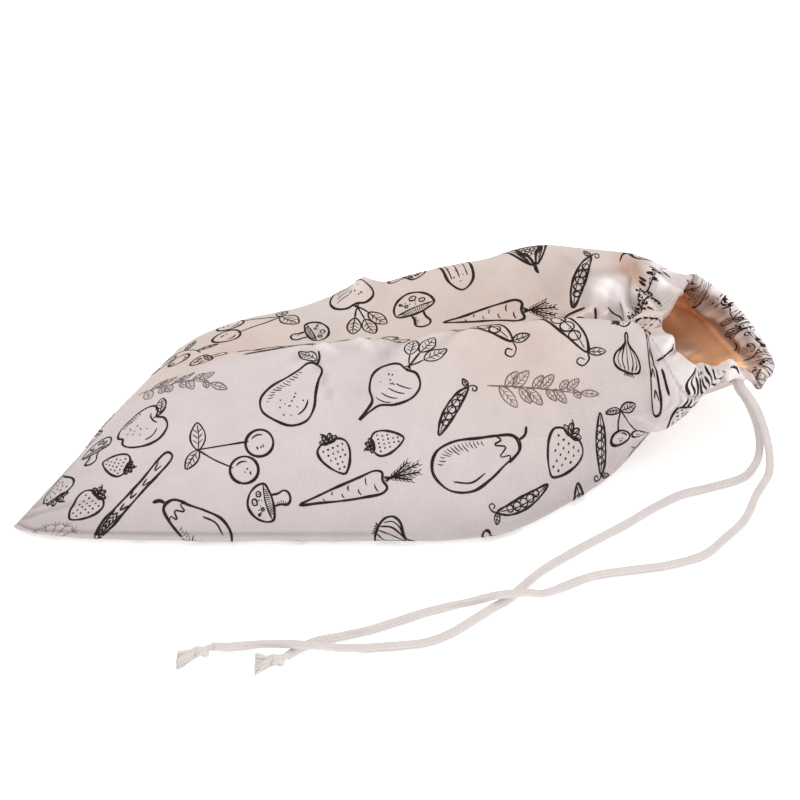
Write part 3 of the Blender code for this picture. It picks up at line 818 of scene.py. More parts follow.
def wovenCotton(name, group):
    w = weaves[name]
    made = newMaterial(name, w["ramp"][0][1], 0.9, sheen=0.1)
    tree = made.node_tree
    shader = tree.nodes["Principled BSDF"]
    flat = addNode(tree, "ShaderNodeUVMap", uv_map="flatCloth").outputs[0]
    weave = addNode(tree, "ShaderNodeGroup", node_tree=group)
    tree.links.new(flat, weave.inputs["Cloth"])
    weave.inputs["Threads"].default_value = w["threads"]
    weave.inputs["Mottle"].default_value = w["mottle"]
    # painted warm shade and painted highlight, carried by a vertex attribute
    warmShadeAndHighlight = addNode(tree, "ShaderNodeAttribute", attribute_name="warmShadeAndHighlight").outputs["Fac"]
    shade = addNode(tree, "ShaderNodeAttribute", attribute_name="tableShade").outputs["Fac"]
    ramp = addNode(tree, "ShaderNodeValToRGB", {0: warmShadeAndHighlight})
    stops = ramp.color_ramp.elements
    for place, _ in w["ramp"][1:-1]:
        stops.new(place)
    for stop, (_, colour) in zip(stops, w["ramp"]):
        stop.color = (*colour, 1.0)
    tone = calc(tree, "MULTIPLY", weave.outputs["Tone"], w["light"] - w["dark"])
    value = calc(tree, "SUBTRACT", calc(tree, "ADD", tone, w["dark"]), calc(tree, "MULTIPLY", shade, 0.30))
    # painted shade in the folds, painted highlight on the crests
    hollow = addNode(tree, "ShaderNodeAttribute", attribute_name="hollow").outputs["Fac"]
    value = calc(tree, "SUBTRACT", value, calc(tree, "MULTIPLY", hollow, w["hollow"]))
    toned = addNode(tree, "ShaderNodeHueSaturation", {"Value": value, "Color": ramp.outputs[0]})
    bump = addNode(tree, "ShaderNodeBump", {"Height": weave.outputs["Height"]})
    bump.inputs["Strength"].default_value = w["bump"]
    bump.inputs["Distance"].default_value = w["lift"]
    tree.links.new(toned.outputs[0], shader.inputs["Base Color"])
    rough = calc(tree, "ADD", calc(tree, "MULTIPLY", weave.outputs["Tone"], 0.12), 0.82)
    tree.links.new(rough, shader.inputs["Roughness"])
    tree.links.new(bump.outputs[0], shader.inputs["Normal"])
    if "glow" in w:
        shader.inputs["Emission Color"].default_value = (*w["glow"], 1.0)
        shader.inputs["Emission Strength"].default_value = w["glowPower"]
    return made


addCamera(view)
addStudio(studio)
print("studio: ready")

surface = clothSurface()
print("cloth: surface", surface["outer"].shape, "girth", round(float(surface["around"][-1])))
plainWeave = plainWeaveGroup()
cloth = clothPiece(surface, [wovenCotton(name, plainWeave) for name in weaves])
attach(cloth, "root")
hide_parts("bag_cloth")
print("cloth: made", len(cloth.data.polygons), "faces")


# The print: plain kitchen-garden motifs, each drawn flat in mm about its own centre

ink = dict(
    step=1.3,  # along a stroke
    outline=1.35,
    inner=0.85,
    hair=0.6,
    paleWidth=0.75,  # beside the others' strokes
    lift=0.13,
    longestFace=4.5,
    gap=2.0,  # between motifs
    sizes=(0.80, 1.04),
    fillSizes=(0.54, 0.70),  # the ones that fill what is left
    fillAfter=140,
    tries=2600,
    seed=23,
    colour=(0.014, 0.006, 0.005),
    worn=(0.050, 0.030, 0.028),
    pale=(0.14, 0.095, 0.09),
    # places that the motifs leave bare, and their reach
    bare=((112, 150, 64, 12), (151, 74, 57, 15), (139, 88, 71, 12), (176, 94, 47, 20), (143, 154, 68, 14),
          (130, 142, 62, 11)),
    # the print's lines in the gathers: between which places round the mouth, as for the gathers, lines for
    # each groove, nearest and farthest from the stitch line, shortest, longest and widest
    gathered=(
        (0.26, 1.16, 1.0, -3.0, 17.5, 14.0, 20.0, 2.1),
        (0.26, 1.16, 0.6, -6.0, 17.0, 3.0, 8.0, 1.7),
        (0.34, 1.16, 1.0, -12.0, 1.0, 6.0, 11.0, 1.9),
        (2.3, 4.0, 1.6, -12.0, 13.0, 4.0, 10.0, 2.0),
        (4.0, 5.0, 1.3, 13.0, 30.0, 3.0, 7.0, 1.7),
        (5.0, 8.4, 1.9, 13.0, 32.0, 2.5, 7.0, 1.7),
        (5.0, 8.6, 0.8, -6.0, 12.0, 3.0, 8.0, 1.8),
    ),
    curls=0.3,  # of the lines that are bent parts of a motif
    # the print's lines that run into a fold: from, to and width
    foldLines=(
        ((139, 72, 66), (142, 63, 52), 2.4),
        ((144, 86, 71), (136, 79, 66), 1.2),
        ((129, 160, 63), (139, 141, 62), 1.2),
        ((128, 153, 62), (128, 146, 61), 1.3),
        ((86, 139, 55), (99, 146, 56), 1.3),
        ((94, 137, 54), (103, 133, 54), 1.9),
        ((104, 143, 57), (105, 134, 55), 1.6),
        ((111, 143, 57), (116, 134, 56), 1.1),
        ((118, 146, 58), (118, 133, 56), 1.6),
        ((124, 150, 60), (126, 136, 58), 1.1),
        ((78, 131, 54), (90, 136, 54), 1.2),
        ((168.5, 90, 54), (169.5, 102, 40), 1.4),
        ((170.8, 91.5, 49.6), (178.6, 96.4, 45.2), 1.5),
        ((195, 112, 36), (187, 104, 31), 2.0),
    ),
)


def penLine(points, width, closed=False):
    path = smoothPath(points, 7, closed)
    count = max(2, round(pathLength(path) / ink["step"]))
    return evenSteps(path, count), width, closed


def oval(x, y, rx, ry, turn=0.0, start=0.0, end=360.0, count=12):
    angles = np.radians(np.linspace(start, end, count, endpoint=end - start < 360))
    c, s = math.cos(math.radians(turn)), math.sin(math.radians(turn))
    px, py = rx * np.cos(angles), ry * np.sin(angles)
    return np.stack([x + c * px - s * py, y + s * px + c * py], axis=1)


def roundLine(x, y, rx, ry, width, turn=0.0):
    return penLine(oval(x, y, rx, ry, turn), width, closed=True)


def arcLine(x, y, rx, ry, start, end, width, turn=0.0):
    return penLine(oval(x, y, rx, ry, turn, start, end, 8), width)


def mirrored(points):
    return list(points) + [(-x, y) for x, y in reversed(points) if abs(x) > 0.01]


def leafAt(x, y, length, width, turn, veins=3):
    c, s = math.cos(math.radians(turn)), math.sin(math.radians(turn))
    place = lambda u, v: (x + c * u - s * v, y + s * u + c * v)
    half = [(0.0, 0.0), (0.25, 0.85), (0.55, 1.0), (0.82, 0.6), (1.0, 0.0)]
    edge = [place(u * length, v * width / 2) for u, v in half]
    edge += [place(u * length, -v * width / 2) for u, v in reversed(half[1:-1])]
    strokes = [penLine(edge, ink["inner"], closed=True)]
    rib = [place(0.0, 0.0), place(0.5 * length, 0.06 * width), place(0.92 * length, 0.0)]
    strokes.append(penLine(rib, ink["hair"]))
    for k in range(veins):
        u = 0.22 + 0.6 * k / max(1, veins)
        for side in (1, -1):
            vein = [(u, 0.0), (u + 0.08, side * 0.16), (u + 0.16, side * 0.34)]
            strokes.append(penLine([place(a * length, b * width) for a, b in vein], ink["hair"]))
    return strokes


def stipple(x, y, rx, ry, count, seed):
    draw = random.Random(seed)
    strokes = []
    for _ in range(count):
        angle, out = draw.uniform(0, 2 * math.pi), draw.random() ** 0.5
        px, py = x + rx * out * math.cos(angle), y + ry * out * math.sin(angle)
        reach, lean = draw.uniform(0.25, 0.55), draw.uniform(0, math.pi)
        dx, dy = reach * math.cos(lean), reach * math.sin(lean)
        strokes.append((np.array([(px - dx, py - dy), (px, py + 0.05), (px + dx, py + dy)]), 0.75, True))
    return strokes


def hatchAlong(points, length, pitch, lean, width):
    # short strokes that start on a line and lean into the shape
    path = smoothPath(points, 8)
    count = max(2, round(pathLength(path) / pitch))
    places = evenSteps(path, count)
    c, s = math.cos(math.radians(lean)), math.sin(math.radians(lean))
    strokes = []
    for k in range(1, count):
        run = places[k + 1] - places[k - 1]
        run = run / np.linalg.norm(run)
        way = np.array([c * run[0] - s * run[1], s * run[0] + c * run[1]])
        reach = length * (math.sin(math.pi * k / count) * 0.6 + 0.4) * (1 + 0.25 * math.sin(k * 2.3))
        start = places[k]
        strokes.append(penLine([start, start + way * reach * 0.5 + run * 0.35, start + way * reach], width))
    return strokes


def pear():
    half = [(0, 22), (4.6, 20), (6.6, 13), (9.8, 5), (14, -4), (14.6, -13), (9, -20), (0, -21.5)]
    strokes = [penLine(mirrored(half), ink["outline"], closed=True)]
    strokes.append(penLine([(0, 21), (0.8, 26), (4, 30)], 1.5))
    strokes += leafAt(1.5, 24, 15, 7, 12)
    strokes += hatchAlong([(5.5, 14), (8.5, 4), (12, -6), (10, -16)], 4.2, 2.2, -118, ink["hair"])
    strokes.append(arcLine(-3, -7, 7, 9, 140, 215, ink["inner"]))
    return strokes + stipple(-1, -8, 8, 9, 12, 3)


def apple():
    half = [(0, 11.5), (5, 15), (12, 14), (17, 6), (16.5, -4), (11, -14), (4.5, -17), (0, -15)]
    strokes = [penLine(mirrored(half), ink["outline"], closed=True)]
    strokes.append(penLine([(0.3, 9), (0, 15), (2.5, 20)], 1.4))
    strokes.append(arcLine(0.3, 10.5, 5.5, 2.4, 190, 350, ink["inner"]))
    strokes += leafAt(1.2, 15, 14, 7, 28)
    strokes += hatchAlong([(15.5, 6), (15.6, -4), (10.5, -12.5)], 4.6, 2.0, -100, ink["hair"])
    strokes.append(arcLine(-4, 0, 8.5, 9, 125, 200, ink["inner"]))
    return strokes + stipple(-2, -4, 9, 8, 10, 4)


def citrus():
    strokes = [roundLine(0, 0, 17, 16, ink["outline"]), roundLine(0, 0, 14.4, 13.4, ink["hair"])]
    wedges = 9
    for k in range(wedges):
        a, b = 360 * k / wedges + 5, 360 * (k + 1) / wedges - 5
        mid = math.radians((a + b) / 2)
        edge = [(2.2 * math.cos(mid), 2.2 * math.sin(mid))]
        edge += [tuple(p) for p in oval(0, 0, 12.8, 11.8, 0, a, b, 4)]
        strokes.append(penLine(edge, ink["inner"], closed=True))
        strokes += stipple(7.6 * math.cos(mid), 7.2 * math.sin(mid), 2.6, 2.2, 2, 40 + k)
    return strokes


def carrot():
    half = [(0, 14), (4.5, 15.2), (6.6, 12), (5.8, 3), (4.2, -9), (2.0, -21), (0, -31)]
    strokes = [penLine(mirrored(half), ink["outline"], closed=True)]
    for k, y in enumerate((10, 6, 1, -4, -8, -13, -18)):
        reach = 4.6 - 0.13 * (14 - y)
        side = 1 if k % 2 else -1
        crease = [(side * (reach + 1.1), y), (side * reach * 0.5, y - 0.9), (side * 0.3, y - 0.5)]
        strokes.append(penLine(crease, ink["inner"]))
    for lean, length in ((-24, 17), (-8, 21), (9, 20), (26, 16)):
        a = math.radians(90 + lean)
        way = np.array((math.cos(a), math.sin(a)))
        root = np.array((0.08 * lean, 14.6))
        strokes.append(penLine([root, root + way * length * 0.5, root + way * length], ink["inner"]))
        for k in range(2, 8):
            start = root + way * length * k / 7.5
            for side in (1, -1):
                b = a + side * 0.8
                first = start + 1.6 * np.array((math.cos(b), math.sin(b)))
                last = start + 3.0 * np.array((math.cos(b - side * 0.3), math.sin(b - side * 0.3)))
                strokes.append(penLine([start, first, last], ink["hair"]))
    return strokes


def peaPod():
    pod = [(0, 29), (5.2, 22), (8, 10), (8.2, -4), (5.2, -18), (0, -28), (-1.8, -16), (-2.6, 0), (-2.0, 15)]
    strokes = [penLine(pod, ink["outline"], closed=True)]
    strokes.append(penLine([(0.4, 26), (3.0, 14), (4.0, 0), (2.8, -14), (0.4, -25)], ink["hair"]))
    peas = ((1.6, 16.5, 3.1), (2.5, 9.2, 3.7), (2.8, 1.6, 3.9), (2.3, -6.0, 3.7), (1.4, -13.2, 3.1))
    for x, y, size in peas:
        strokes.append(roundLine(x, y, size, size, ink["inner"]))
        strokes.append(arcLine(x, y, size * 0.6, size * 0.6, 30, 110, ink["hair"]))
    strokes.append(penLine([(0, 29), (-2, 33), (-7, 34), (-8, 30), (-5, 29), (-4, 32)], ink["inner"]))
    return strokes + leafAt(0.5, 29, 10, 5, 35, 2)


def mushroom():
    cap = [(-17, -0.5), (-17, 6), (-11, 14), (0, 18), (11, 14), (17, 6), (17, -0.5)]
    cap += [(9, -3.4), (0, -4.2), (-9, -3.4)]
    stem = [(-5.4, -4), (-5, -10), (-6.6, -16), (-3.5, -19.5), (3.5, -19.5), (6.6, -16), (5, -10), (5.4, -4)]
    strokes = [penLine(cap, ink["outline"], closed=True), penLine(stem, ink["outline"])]
    strokes.append(penLine([(-16, 0.5), (-8, 1.8), (0, 2.2), (8, 1.8), (16, 0.5)], ink["inner"]))
    for x in np.linspace(-13, 13, 13):
        strokes.append(penLine([(x, 1.4), (x * 0.88, -0.6), (x * 0.8, -2.6)], ink["hair"]))
    spots = ((-9, 6.5, 2.6, 2.0), (-2.5, 11.5, 3.1, 2.2), (5.5, 6.2, 1.5, 1.2), (9.6, 10, 1.1, 0.9))
    for x, y, rx, ry in spots:
        strokes.append(roundLine(x, y, rx, ry, ink["inner"]))
    strokes += hatchAlong([(4.4, -6), (4.2, -11), (5.4, -16)], 2.6, 1.6, -95, ink["hair"])
    return strokes + stipple(0, 8, 12, 4.5, 12, 9)


def garlic():
    half = [(0, 21), (1.8, 19), (2.2, 12), (6, 7), (13, 1), (15, -7), (10.5, -14), (0, -16.5)]
    strokes = [penLine(mirrored(half), ink["outline"], closed=True)]
    for side in (1, -1):
        clove = [(side * 0.8, 13), (side * 4.6, 4), (side * 6.4, -5), (side * 3.4, -15)]
        crease = [(side * 1.8, 9), (side * 9, 2), (side * 11, -6), (side * 7.5, -13)]
        strokes += [penLine(clove, ink["inner"]), penLine(crease, ink["hair"])]
    strokes.append(penLine([(0, 12), (0.5, 0), (0, -15)], ink["hair"]))
    for x in (-3.0, -1.5, 0.0, 1.4, 3.0):
        strokes.append(penLine([(x, -16.4), (x * 1.3, -18.2), (x * 1.6, -20)], ink["inner"]))
    return strokes


def baySprig():
    strokes = [penLine([(0, -29), (1.5, -12), (0.5, 6), (-1, 27)], ink["inner"])]
    for k in range(6):
        y = -22 + 8 * k
        side = 1 if k % 2 else -1
        strokes += leafAt(0.8, y, 15 - k, 6.2 - 0.35 * k, 90 - side * 48, 3)
        strokes += leafAt(0.8, y + 3.5, 12 - k, 5.2 - 0.35 * k, 90 + side * 52, 2)
    return strokes + leafAt(-1, 26, 11, 4.6, 96, 2)


def strawberry():
    half = [(0, 11), (6, 12.5), (11.5, 8.5), (12, 1.5), (8.4, -7.5), (3.6, -14), (0, -16.5)]
    strokes = [penLine(mirrored(half), ink["outline"], closed=True)]
    for row, (y, reach) in enumerate(((6.5, 8.6), (2.0, 8.8), (-2.5, 6.8), (-7.0, 4.4), (-11.2, 2.0))):
        for x in np.arange(-reach + (row % 2) * 2.0, reach + 0.1, 4.0):
            strokes.append((np.array([(x, y + 0.75), (x + 0.12, y), (x, y - 0.75)]), 0.95, True))
    for lean in (-66, -24, 24, 66):
        strokes += leafAt(0, 11.5, 8.0, 4.2, 90 + lean, 0)
    strokes.append(penLine([(0, 12), (1, 18), (4, 21)], 1.2))
    return strokes


def pepper():
    body = [(-4.5, 17), (0, 18.6), (5, 17), (8, 9), (7.4, -3), (3, -16), (-5, -26), (-10.5, -30)]
    body += [(-7.5, -22), (-4.8, -10), (-5.6, 2), (-6.6, 11)]
    crown = [(-5.2, 16), (-3.4, 19.5), (0, 21), (3.6, 19.4), (5.6, 16.2), (2.8, 17.2), (0, 15.8), (-2.8, 17)]
    strokes = [penLine(body, ink["outline"], closed=True), penLine(crown, ink["inner"], closed=True)]
    strokes.append(penLine([(0, 21), (0.8, 26), (5, 30)], 1.8))
    strokes.append(penLine([(4.2, 12), (4.8, 2), (2, -9), (-3, -19)], ink["inner"]))
    return strokes + hatchAlong([(-5.6, 9), (-4.6, 0), (-3.8, -10), (-6, -20)], 3.0, 2.4, 62, ink["hair"])


def cornCob():
    half = [(0, 26), (4.6, 22), (7.4, 13), (8, 1), (7.2, -12), (5, -19)]
    strokes = [penLine([(-x, y) for x, y in reversed(half)] + half[1:], ink["outline"])]
    for row in range(12):
        y = 20.5 - 3.5 * row
        reach = 6.9 * math.sqrt(max(0.05, 1 - ((y - 0.5) / 26.5) ** 2))
        for k in range(4):
            strokes.append(roundLine((-0.75 + 0.5 * k) * reach, y, reach * 0.235, 1.55, 0.6))
    husk = [(1.0, -27), (7.5, -20), (12.5, -8), (14.5, 5), (8.6, -3), (6.4, -13), (2.0, -21)]
    for side in (1, -1):
        strokes.append(penLine([(side * x, y) for x, y in husk], ink["outline"], closed=True))
        strokes.append(penLine([(side * 3, -23), (side * 8, -14), (side * 12, -2)], ink["hair"]))
        strokes.append(penLine([(side * 2.4, -25), (side * 6.8, -18), (side * 9.4, -10)], ink["hair"]))
    strokes.append(penLine([(0, -25), (0.3, -30), (-0.5, -33)], 1.8))
    return strokes


def beetroot():
    half = [(0, 10), (6, 11), (12.5, 6), (13.5, -2), (8.5, -11), (2.4, -16), (0.9, -22), (0, -30)]
    strokes = [penLine(mirrored(half), ink["outline"], closed=True)]
    for k, y in enumerate((4, -0.5, -5, -9)):
        strokes.append(arcLine(0, y, 11 - 1.4 * k, 4.2, 205, 265 + 10 * k, ink["hair"]))
    for lean, length in ((-30, 12), (-4, 16), (24, 13)):
        a = math.radians(90 + lean)
        tip = (length * math.cos(a) * 0.8, 11 + length * math.sin(a) * 0.8)
        strokes.append(penLine([(0.08 * lean, 10.6), (tip[0] * 0.45, (tip[1] + 11) / 2), tip], 1.0))
        strokes += leafAt(tip[0], tip[1], 14, 8, 90 + lean, 3)
    return strokes + stipple(3, -1, 7, 5, 9, 21)


def cherries():
    strokes = []
    for x, y in ((-8.5, -12), (8, -8)):
        strokes.append(roundLine(x, y, 7.6, 7.2, ink["outline"]))
        strokes.append(arcLine(x, y, 4.8, 4.6, 105, 185, ink["inner"]))
        strokes.append(penLine([(x + 0.4, y + 5.6), (x * 0.62 + 1.2, y + 16), (2, 19)], 0.95))
        strokes += stipple(x + 2, y - 2, 3, 3, 5, int(30 + x))
    return strokes + leafAt(2, 18.5, 17, 8, 160, 3) + leafAt(2, 18.5, 13, 6, 14, 3)


def aubergine():
    body = [(-4.5, 20), (3, 21.5), (7.5, 15), (11, 3), (13.5, -9), (11, -20), (2, -26)]
    body += [(-8, -23), (-12.5, -13), (-10.6, -1), (-7.6, 9)]
    crown = [(-7.5, 12), (-4.6, 14.4), (-2.5, 9.2), (0.8, 14.6), (4.6, 9.5), (5.4, 14.4), (8.4, 12.5)]
    crown += [(5.5, 20.5), (0.6, 23), (-4.6, 20.6)]
    strokes = [penLine(body, ink["outline"], closed=True), penLine(crown, ink["inner"], closed=True)]
    strokes.append(penLine([(0.5, 22.6), (1.2, 27), (5, 30)], 2.0))
    strokes.append(penLine([(-6.6, -2), (-8.4, -11), (-5, -19)], ink["inner"]))
    return strokes + hatchAlong([(8.6, 6), (11.4, -5), (10.6, -16), (4, -23)], 4.6, 2.0, -108, ink["hair"])


def asparagus():
    spear = [(-2.6, -36), (-2.8, -10), (-3.2, 12), (-3.4, 22), (0, 36)]
    spear += [(3.4, 22), (3.2, 12), (2.8, -10), (2.6, -36)]
    strokes = [penLine(spear + [(0, -37.2)], ink["outline"], closed=True)]
    for k, y in enumerate((-26, -14, -3, 7)):
        side = 1 if k % 2 else -1
        scale = [(side * 2.4, y - 2.6), (side * 0.2, y + 3.4), (-side * 0.8, y - 1.8)]
        strokes.append(penLine(scale, ink["inner"]))
    for k in range(6):
        y, reach = 13 + 3.4 * k, 3.1 - 0.38 * k
        for side in (1, -1):
            bud = [(side * reach, y - 2.2), (side * reach * 0.5, y + 2.8), (0, y - 0.8)]
            strokes.append(penLine(bud, ink["inner"]))
    return strokes


def cucumber():
    body = [(-4, 29), (2.5, 30), (6.6, 24), (7.8, 10), (7.2, -8), (6, -22), (0.5, -29.5), (-6, -25)]
    body += [(-8.2, -10), (-7.6, 8), (-7, 22)]
    strokes = [penLine(body, ink["outline"], closed=True)]
    for x in (-4.2, 0.2, 4.4):
        strokes.append(penLine([(x * 0.8, 22), (x * 1.1, 4), (x, -20)], ink["hair"]))
    return strokes + stipple(0, 0, 5.6, 23, 36, 77)


def dillSprig():
    strokes = [penLine([(0, -27), (1.2, -12), (0.4, 2), (0, 8)], ink["inner"])]
    for lean in (-72, -46, -20, 6, 32, 60):
        a = math.radians(90 + lean)
        tip = np.array((13.5 * math.cos(a), 8 + 13.5 * math.sin(a)))
        strokes.append(penLine([(0, 8), tip * 0.5 + (0.4, 4), tip], ink["hair"]))
        for ray in (-60, -20, 20, 60):
            b = a + math.radians(ray)
            end = tip + 4.2 * np.array((math.cos(b), math.sin(b)))
            strokes.append(penLine([tip, (tip + end) / 2, end], ink["hair"]))
    for y, side in ((-17, 1), (-11, -1), (-4, 1)):
        for k in range(3):
            spray = [(0.8, y), (side * (4 + k), y + 2 + 2 * k), (side * (6 + k), y + 5 + 3 * k)]
            strokes.append(penLine(spray, ink["hair"]))
    return strokes


def olives():
    strokes = [penLine([(-15, 7), (-4, 10), (10, 8), (17, 3)], ink["inner"])]
    for x, y, turn in ((-6, -2.5, -18), (7.5, -3.5, 14)):
        strokes.append(roundLine(x, y, 5.6, 7.6, ink["outline"], turn))
        strokes.append(roundLine(x + 0.4, y - 4.6, 1.5, 1.1, ink["inner"], turn))
        strokes.append(arcLine(x, y, 3.4, 5.0, 110, 190, ink["hair"], turn))
    for leaf in ((-9, 9, 13, 4.4, 128), (3, 9.6, 14, 4.6, 62), (14, 5, 11, 4.0, -12)):
        strokes += leafAt(*leaf, 2)
    return strokes


motifs = (
    pear, apple, citrus, carrot, peaPod, mushroom, garlic, baySprig, strawberry, pepper, cornCob, beetroot,
    cherries, aubergine, asparagus, cucumber, dillSprig, olives,
)
paleMotifs = (baySprig, dillSprig)
smallMotifs = (cherries, strawberry, mushroom, olives, garlic, baySprig, peaPod)


def printSurface(surface):
    # the outer skin and, past the fold, the inner side of the hem, as one grid with its outward normals
    mouth, along = surface["mouth"], surface["along"]
    inside = np.nonzero(mouth >= gathers["hemStart"])[0][::-1]
    rows = np.concatenate([surface["outer"], surface["inner"][inside]])
    distance = np.concatenate([along, along[-1] + bag["sheet"] + (along[-1] - along[inside])])
    return dict(
        places=wrapped(rows), normals=wrapped(facing(rows)), along=distance, around=surface["around"],
        base=surface["base"], mouth=mouth, field=np.concatenate([surface["field"], surface["field"][inside]]),
    )


def onCloth(skin, flat):
    # points and outward normals at flat places (round the bag, along the bag)
    s = np.mod(flat[:, 0], skin["around"][-1])
    u = np.interp(s, skin["around"], np.arange(len(skin["around"])))
    v = np.interp(flat[:, 1], skin["along"], np.arange(len(skin["along"])))
    j = np.minimum(u.astype(int), len(skin["around"]) - 2)
    i = np.minimum(v.astype(int), len(skin["along"]) - 2)
    fu, fv = (u - j)[:, None], (v - i)[:, None]
    out = []
    for grid in (skin["places"], skin["normals"]):
        low = grid[i, j] * (1 - fu) + grid[i, j + 1] * fu
        high = grid[i + 1, j] * (1 - fu) + grid[i + 1, j + 1] * fu
        out.append(low * (1 - fv) + high * fv)
    return out


def unshear(skin, s, t):
    # the matrix that keeps a motif's shape where the smooth cloth's grid is slanted, and the metric there
    base, along, around = skin["base"], skin["along"], skin["around"]
    row = int(np.clip(np.searchsorted(along, t), 5, np.nonzero(skin["mouth"] <= 0.05)[0][-1]))
    column = int(np.searchsorted(around, s % around[-1])) % base.shape[1]
    ahead, behind = (column + 4) % base.shape[1], (column - 4) % base.shape[1]
    alongWay = (base[row + 2, column] - base[row - 2, column]) / (along[row + 2] - along[row - 2])
    aroundWay = (base[row, ahead] - base[row, behind]) / ((around[ahead] - around[behind]) % around[-1])
    ways = np.stack([aroundWay, alongWay])
    values, vectors = np.linalg.eigh(ways @ ways.T)
    values = np.clip(values, 0.5, 1.6)
    return vectors @ np.diag(values ** -0.5) @ vectors.T, vectors @ np.diag(values) @ vectors.T


def bareSpots(skin):
    centres, radii = [], []
    for x, y, z, reach in ink["bare"]:
        away = np.linalg.norm(skin["base"] - (x, y, z), axis=2)
        row, column = np.unravel_index(np.argmin(away), away.shape)
        centres.append((skin["around"][column], skin["along"][row]))
        radii.append(reach)
    return np.array(centres), np.array(radii, float)


def placeMotifs(skin):
    draw = random.Random(ink["seed"])
    girth, top = skin["around"][-1], skin["along"][-1]
    library = []
    for make in motifs:
        strokes = make()
        points = np.vstack([path for path, _, _ in strokes])
        low, high = points.min(axis=0), points.max(axis=0)
        library.append((strokes, (low + high) / 2, (high - low) / 2, make in paleMotifs, make in smallMotifs))
    library.sort(key=lambda item: -item[2][0] * item[2][1])
    small = [item for item in library if item[4]]
    centres, radii = bareSpots(skin)
    out = []
    misses = placed = 0
    while misses < ink["tries"]:
        if misses < ink["fillAfter"]:
            strokes, centre, half, pale, _ = library[(placed * 7) % len(library)]
        else:
            strokes, centre, half, pale, _ = draw.choice(small)
        size = draw.uniform(*ink["sizes"] if misses < ink["fillAfter"] else ink["fillSizes"])
        s, t = draw.uniform(0, girth), draw.uniform(6, top - 4)
        turn = draw.choice((0, 1, 2, 3)) * math.pi / 2 + draw.uniform(-0.75, 0.75)
        shape, metric = unshear(skin, s, t)
        spin = shape @ np.array([[math.cos(turn), -math.sin(turn)], [math.sin(turn), math.cos(turn)]])
        radius = (half[0] * size + ink["gap"]) * 0.94
        reach = max(0.0, half[1] - half[0]) * size
        steps = max(1, math.ceil(2 * reach / (radius * 0.9)))
        line = np.outer(np.linspace(-reach, reach, steps + 1), spin @ np.array([0.0, 1.0])) + (s, t)
        gaps = line[:, None] - centres[None]
        gaps[:, :, 0] = (gaps[:, :, 0] + girth / 2) % girth - girth / 2
        near = np.einsum("abi,ij,abj->ab", gaps, metric, gaps) < (radius + radii[None]) ** 2
        if near.any():
            misses += 1
            continue
        misses = 0 if misses < ink["fillAfter"] else misses // 2
        placed += 1
        centres = np.concatenate([centres, line])
        radii = np.concatenate([radii, np.full(len(line), radius)])
        thick = (0.75 + 0.25 * size) * (ink["paleWidth"] if pale else 1.0)
        for path, width, closed in strokes:
            out.append(((path - centre) * size, width * thick, closed, spin, np.array([s, t]), pale))
    print("print: motifs", placed)
    return out


def inkWidths(count, width, closed, seed):
    along = np.arange(count) * ink["step"]
    uneven = 1 + 0.18 * np.sin(along / 5.1 + seed) + 0.10 * np.sin(along / 1.9 + 2.2 * seed)
    if not closed:
        fromEnd = np.minimum(along, along[-1] - along)
        uneven = uneven * np.clip(0.4 + fromEnd / 3.0, 0.4, 1.0)
    return width * uneven


def gatheredInk(skin):
    # the print's lines where the gathers press them together: each follows a groove
    draw = random.Random(5)
    field, along, around = skin["field"], skin["along"], skin["around"]
    stitchRow = np.searchsorted(skin["mouth"], gathers["hemStart"])
    out = []
    for first, last, share, nearest, farthest, shortest, longest, widest in ink["gathered"]:
        low, high = np.interp((first, last), np.arange(len(lineNames) + 1), lineMarks()).astype(int)
        columns = np.arange(max(0, low - 40), min(field.shape[1], high + 40))
        grooves = range(math.ceil(field[stitchRow, low]), math.floor(field[stitchRow, high - 1]) + 1)
        for groove in grooves:
            for _ in range(int(share + draw.random())):
                length, width = draw.uniform(shortest, longest), widest * draw.uniform(0.6, 1.0)
                start = along[stitchRow] + draw.uniform(nearest, max(nearest, farthest - length))
                rows = np.nonzero((along >= start) & (along <= start + length))[0]
                spots = np.array([np.interp(groove, field[row, columns], columns) for row in rows])
                places = np.stack([np.interp(spots, np.arange(len(around)), around), along[rows]], axis=1)
                if draw.random() < ink["curls"] and length < 8:
                    reach, end = draw.uniform(2, 6), draw.uniform(150, 300)
                    path, _, _ = arcLine(0, 0, reach, length * 0.5, 20, end, width)
                    out.append((path, width, False, np.eye(2), places.mean(axis=0), False))
                elif len(rows) > 2:
                    path = evenSteps(places, max(3, round(pathLength(places) / ink["step"])))
                    out.append((path, width, False, np.eye(2), np.zeros(2), False))
    return out


def foldInk(skin):
    out = []
    for start, end, width in ink["foldLines"]:
        places = []
        for share in np.linspace(0.0, 1.0, 4):
            spot = np.array(start) + share * (np.array(end) - np.array(start))
            away = np.linalg.norm(skin["base"] - spot, axis=2)
            row, column = np.unravel_index(np.argmin(away), away.shape)
            places.append((skin["around"][column], skin["along"][row]))
        path = smoothPath([place for k, place in enumerate(places) if not k or place != places[k - 1]], 7)
        path = evenSteps(path, max(3, round(pathLength(path) / ink["step"])))
        out.append((path, width, False, np.eye(2), np.zeros(2), False))
    return out


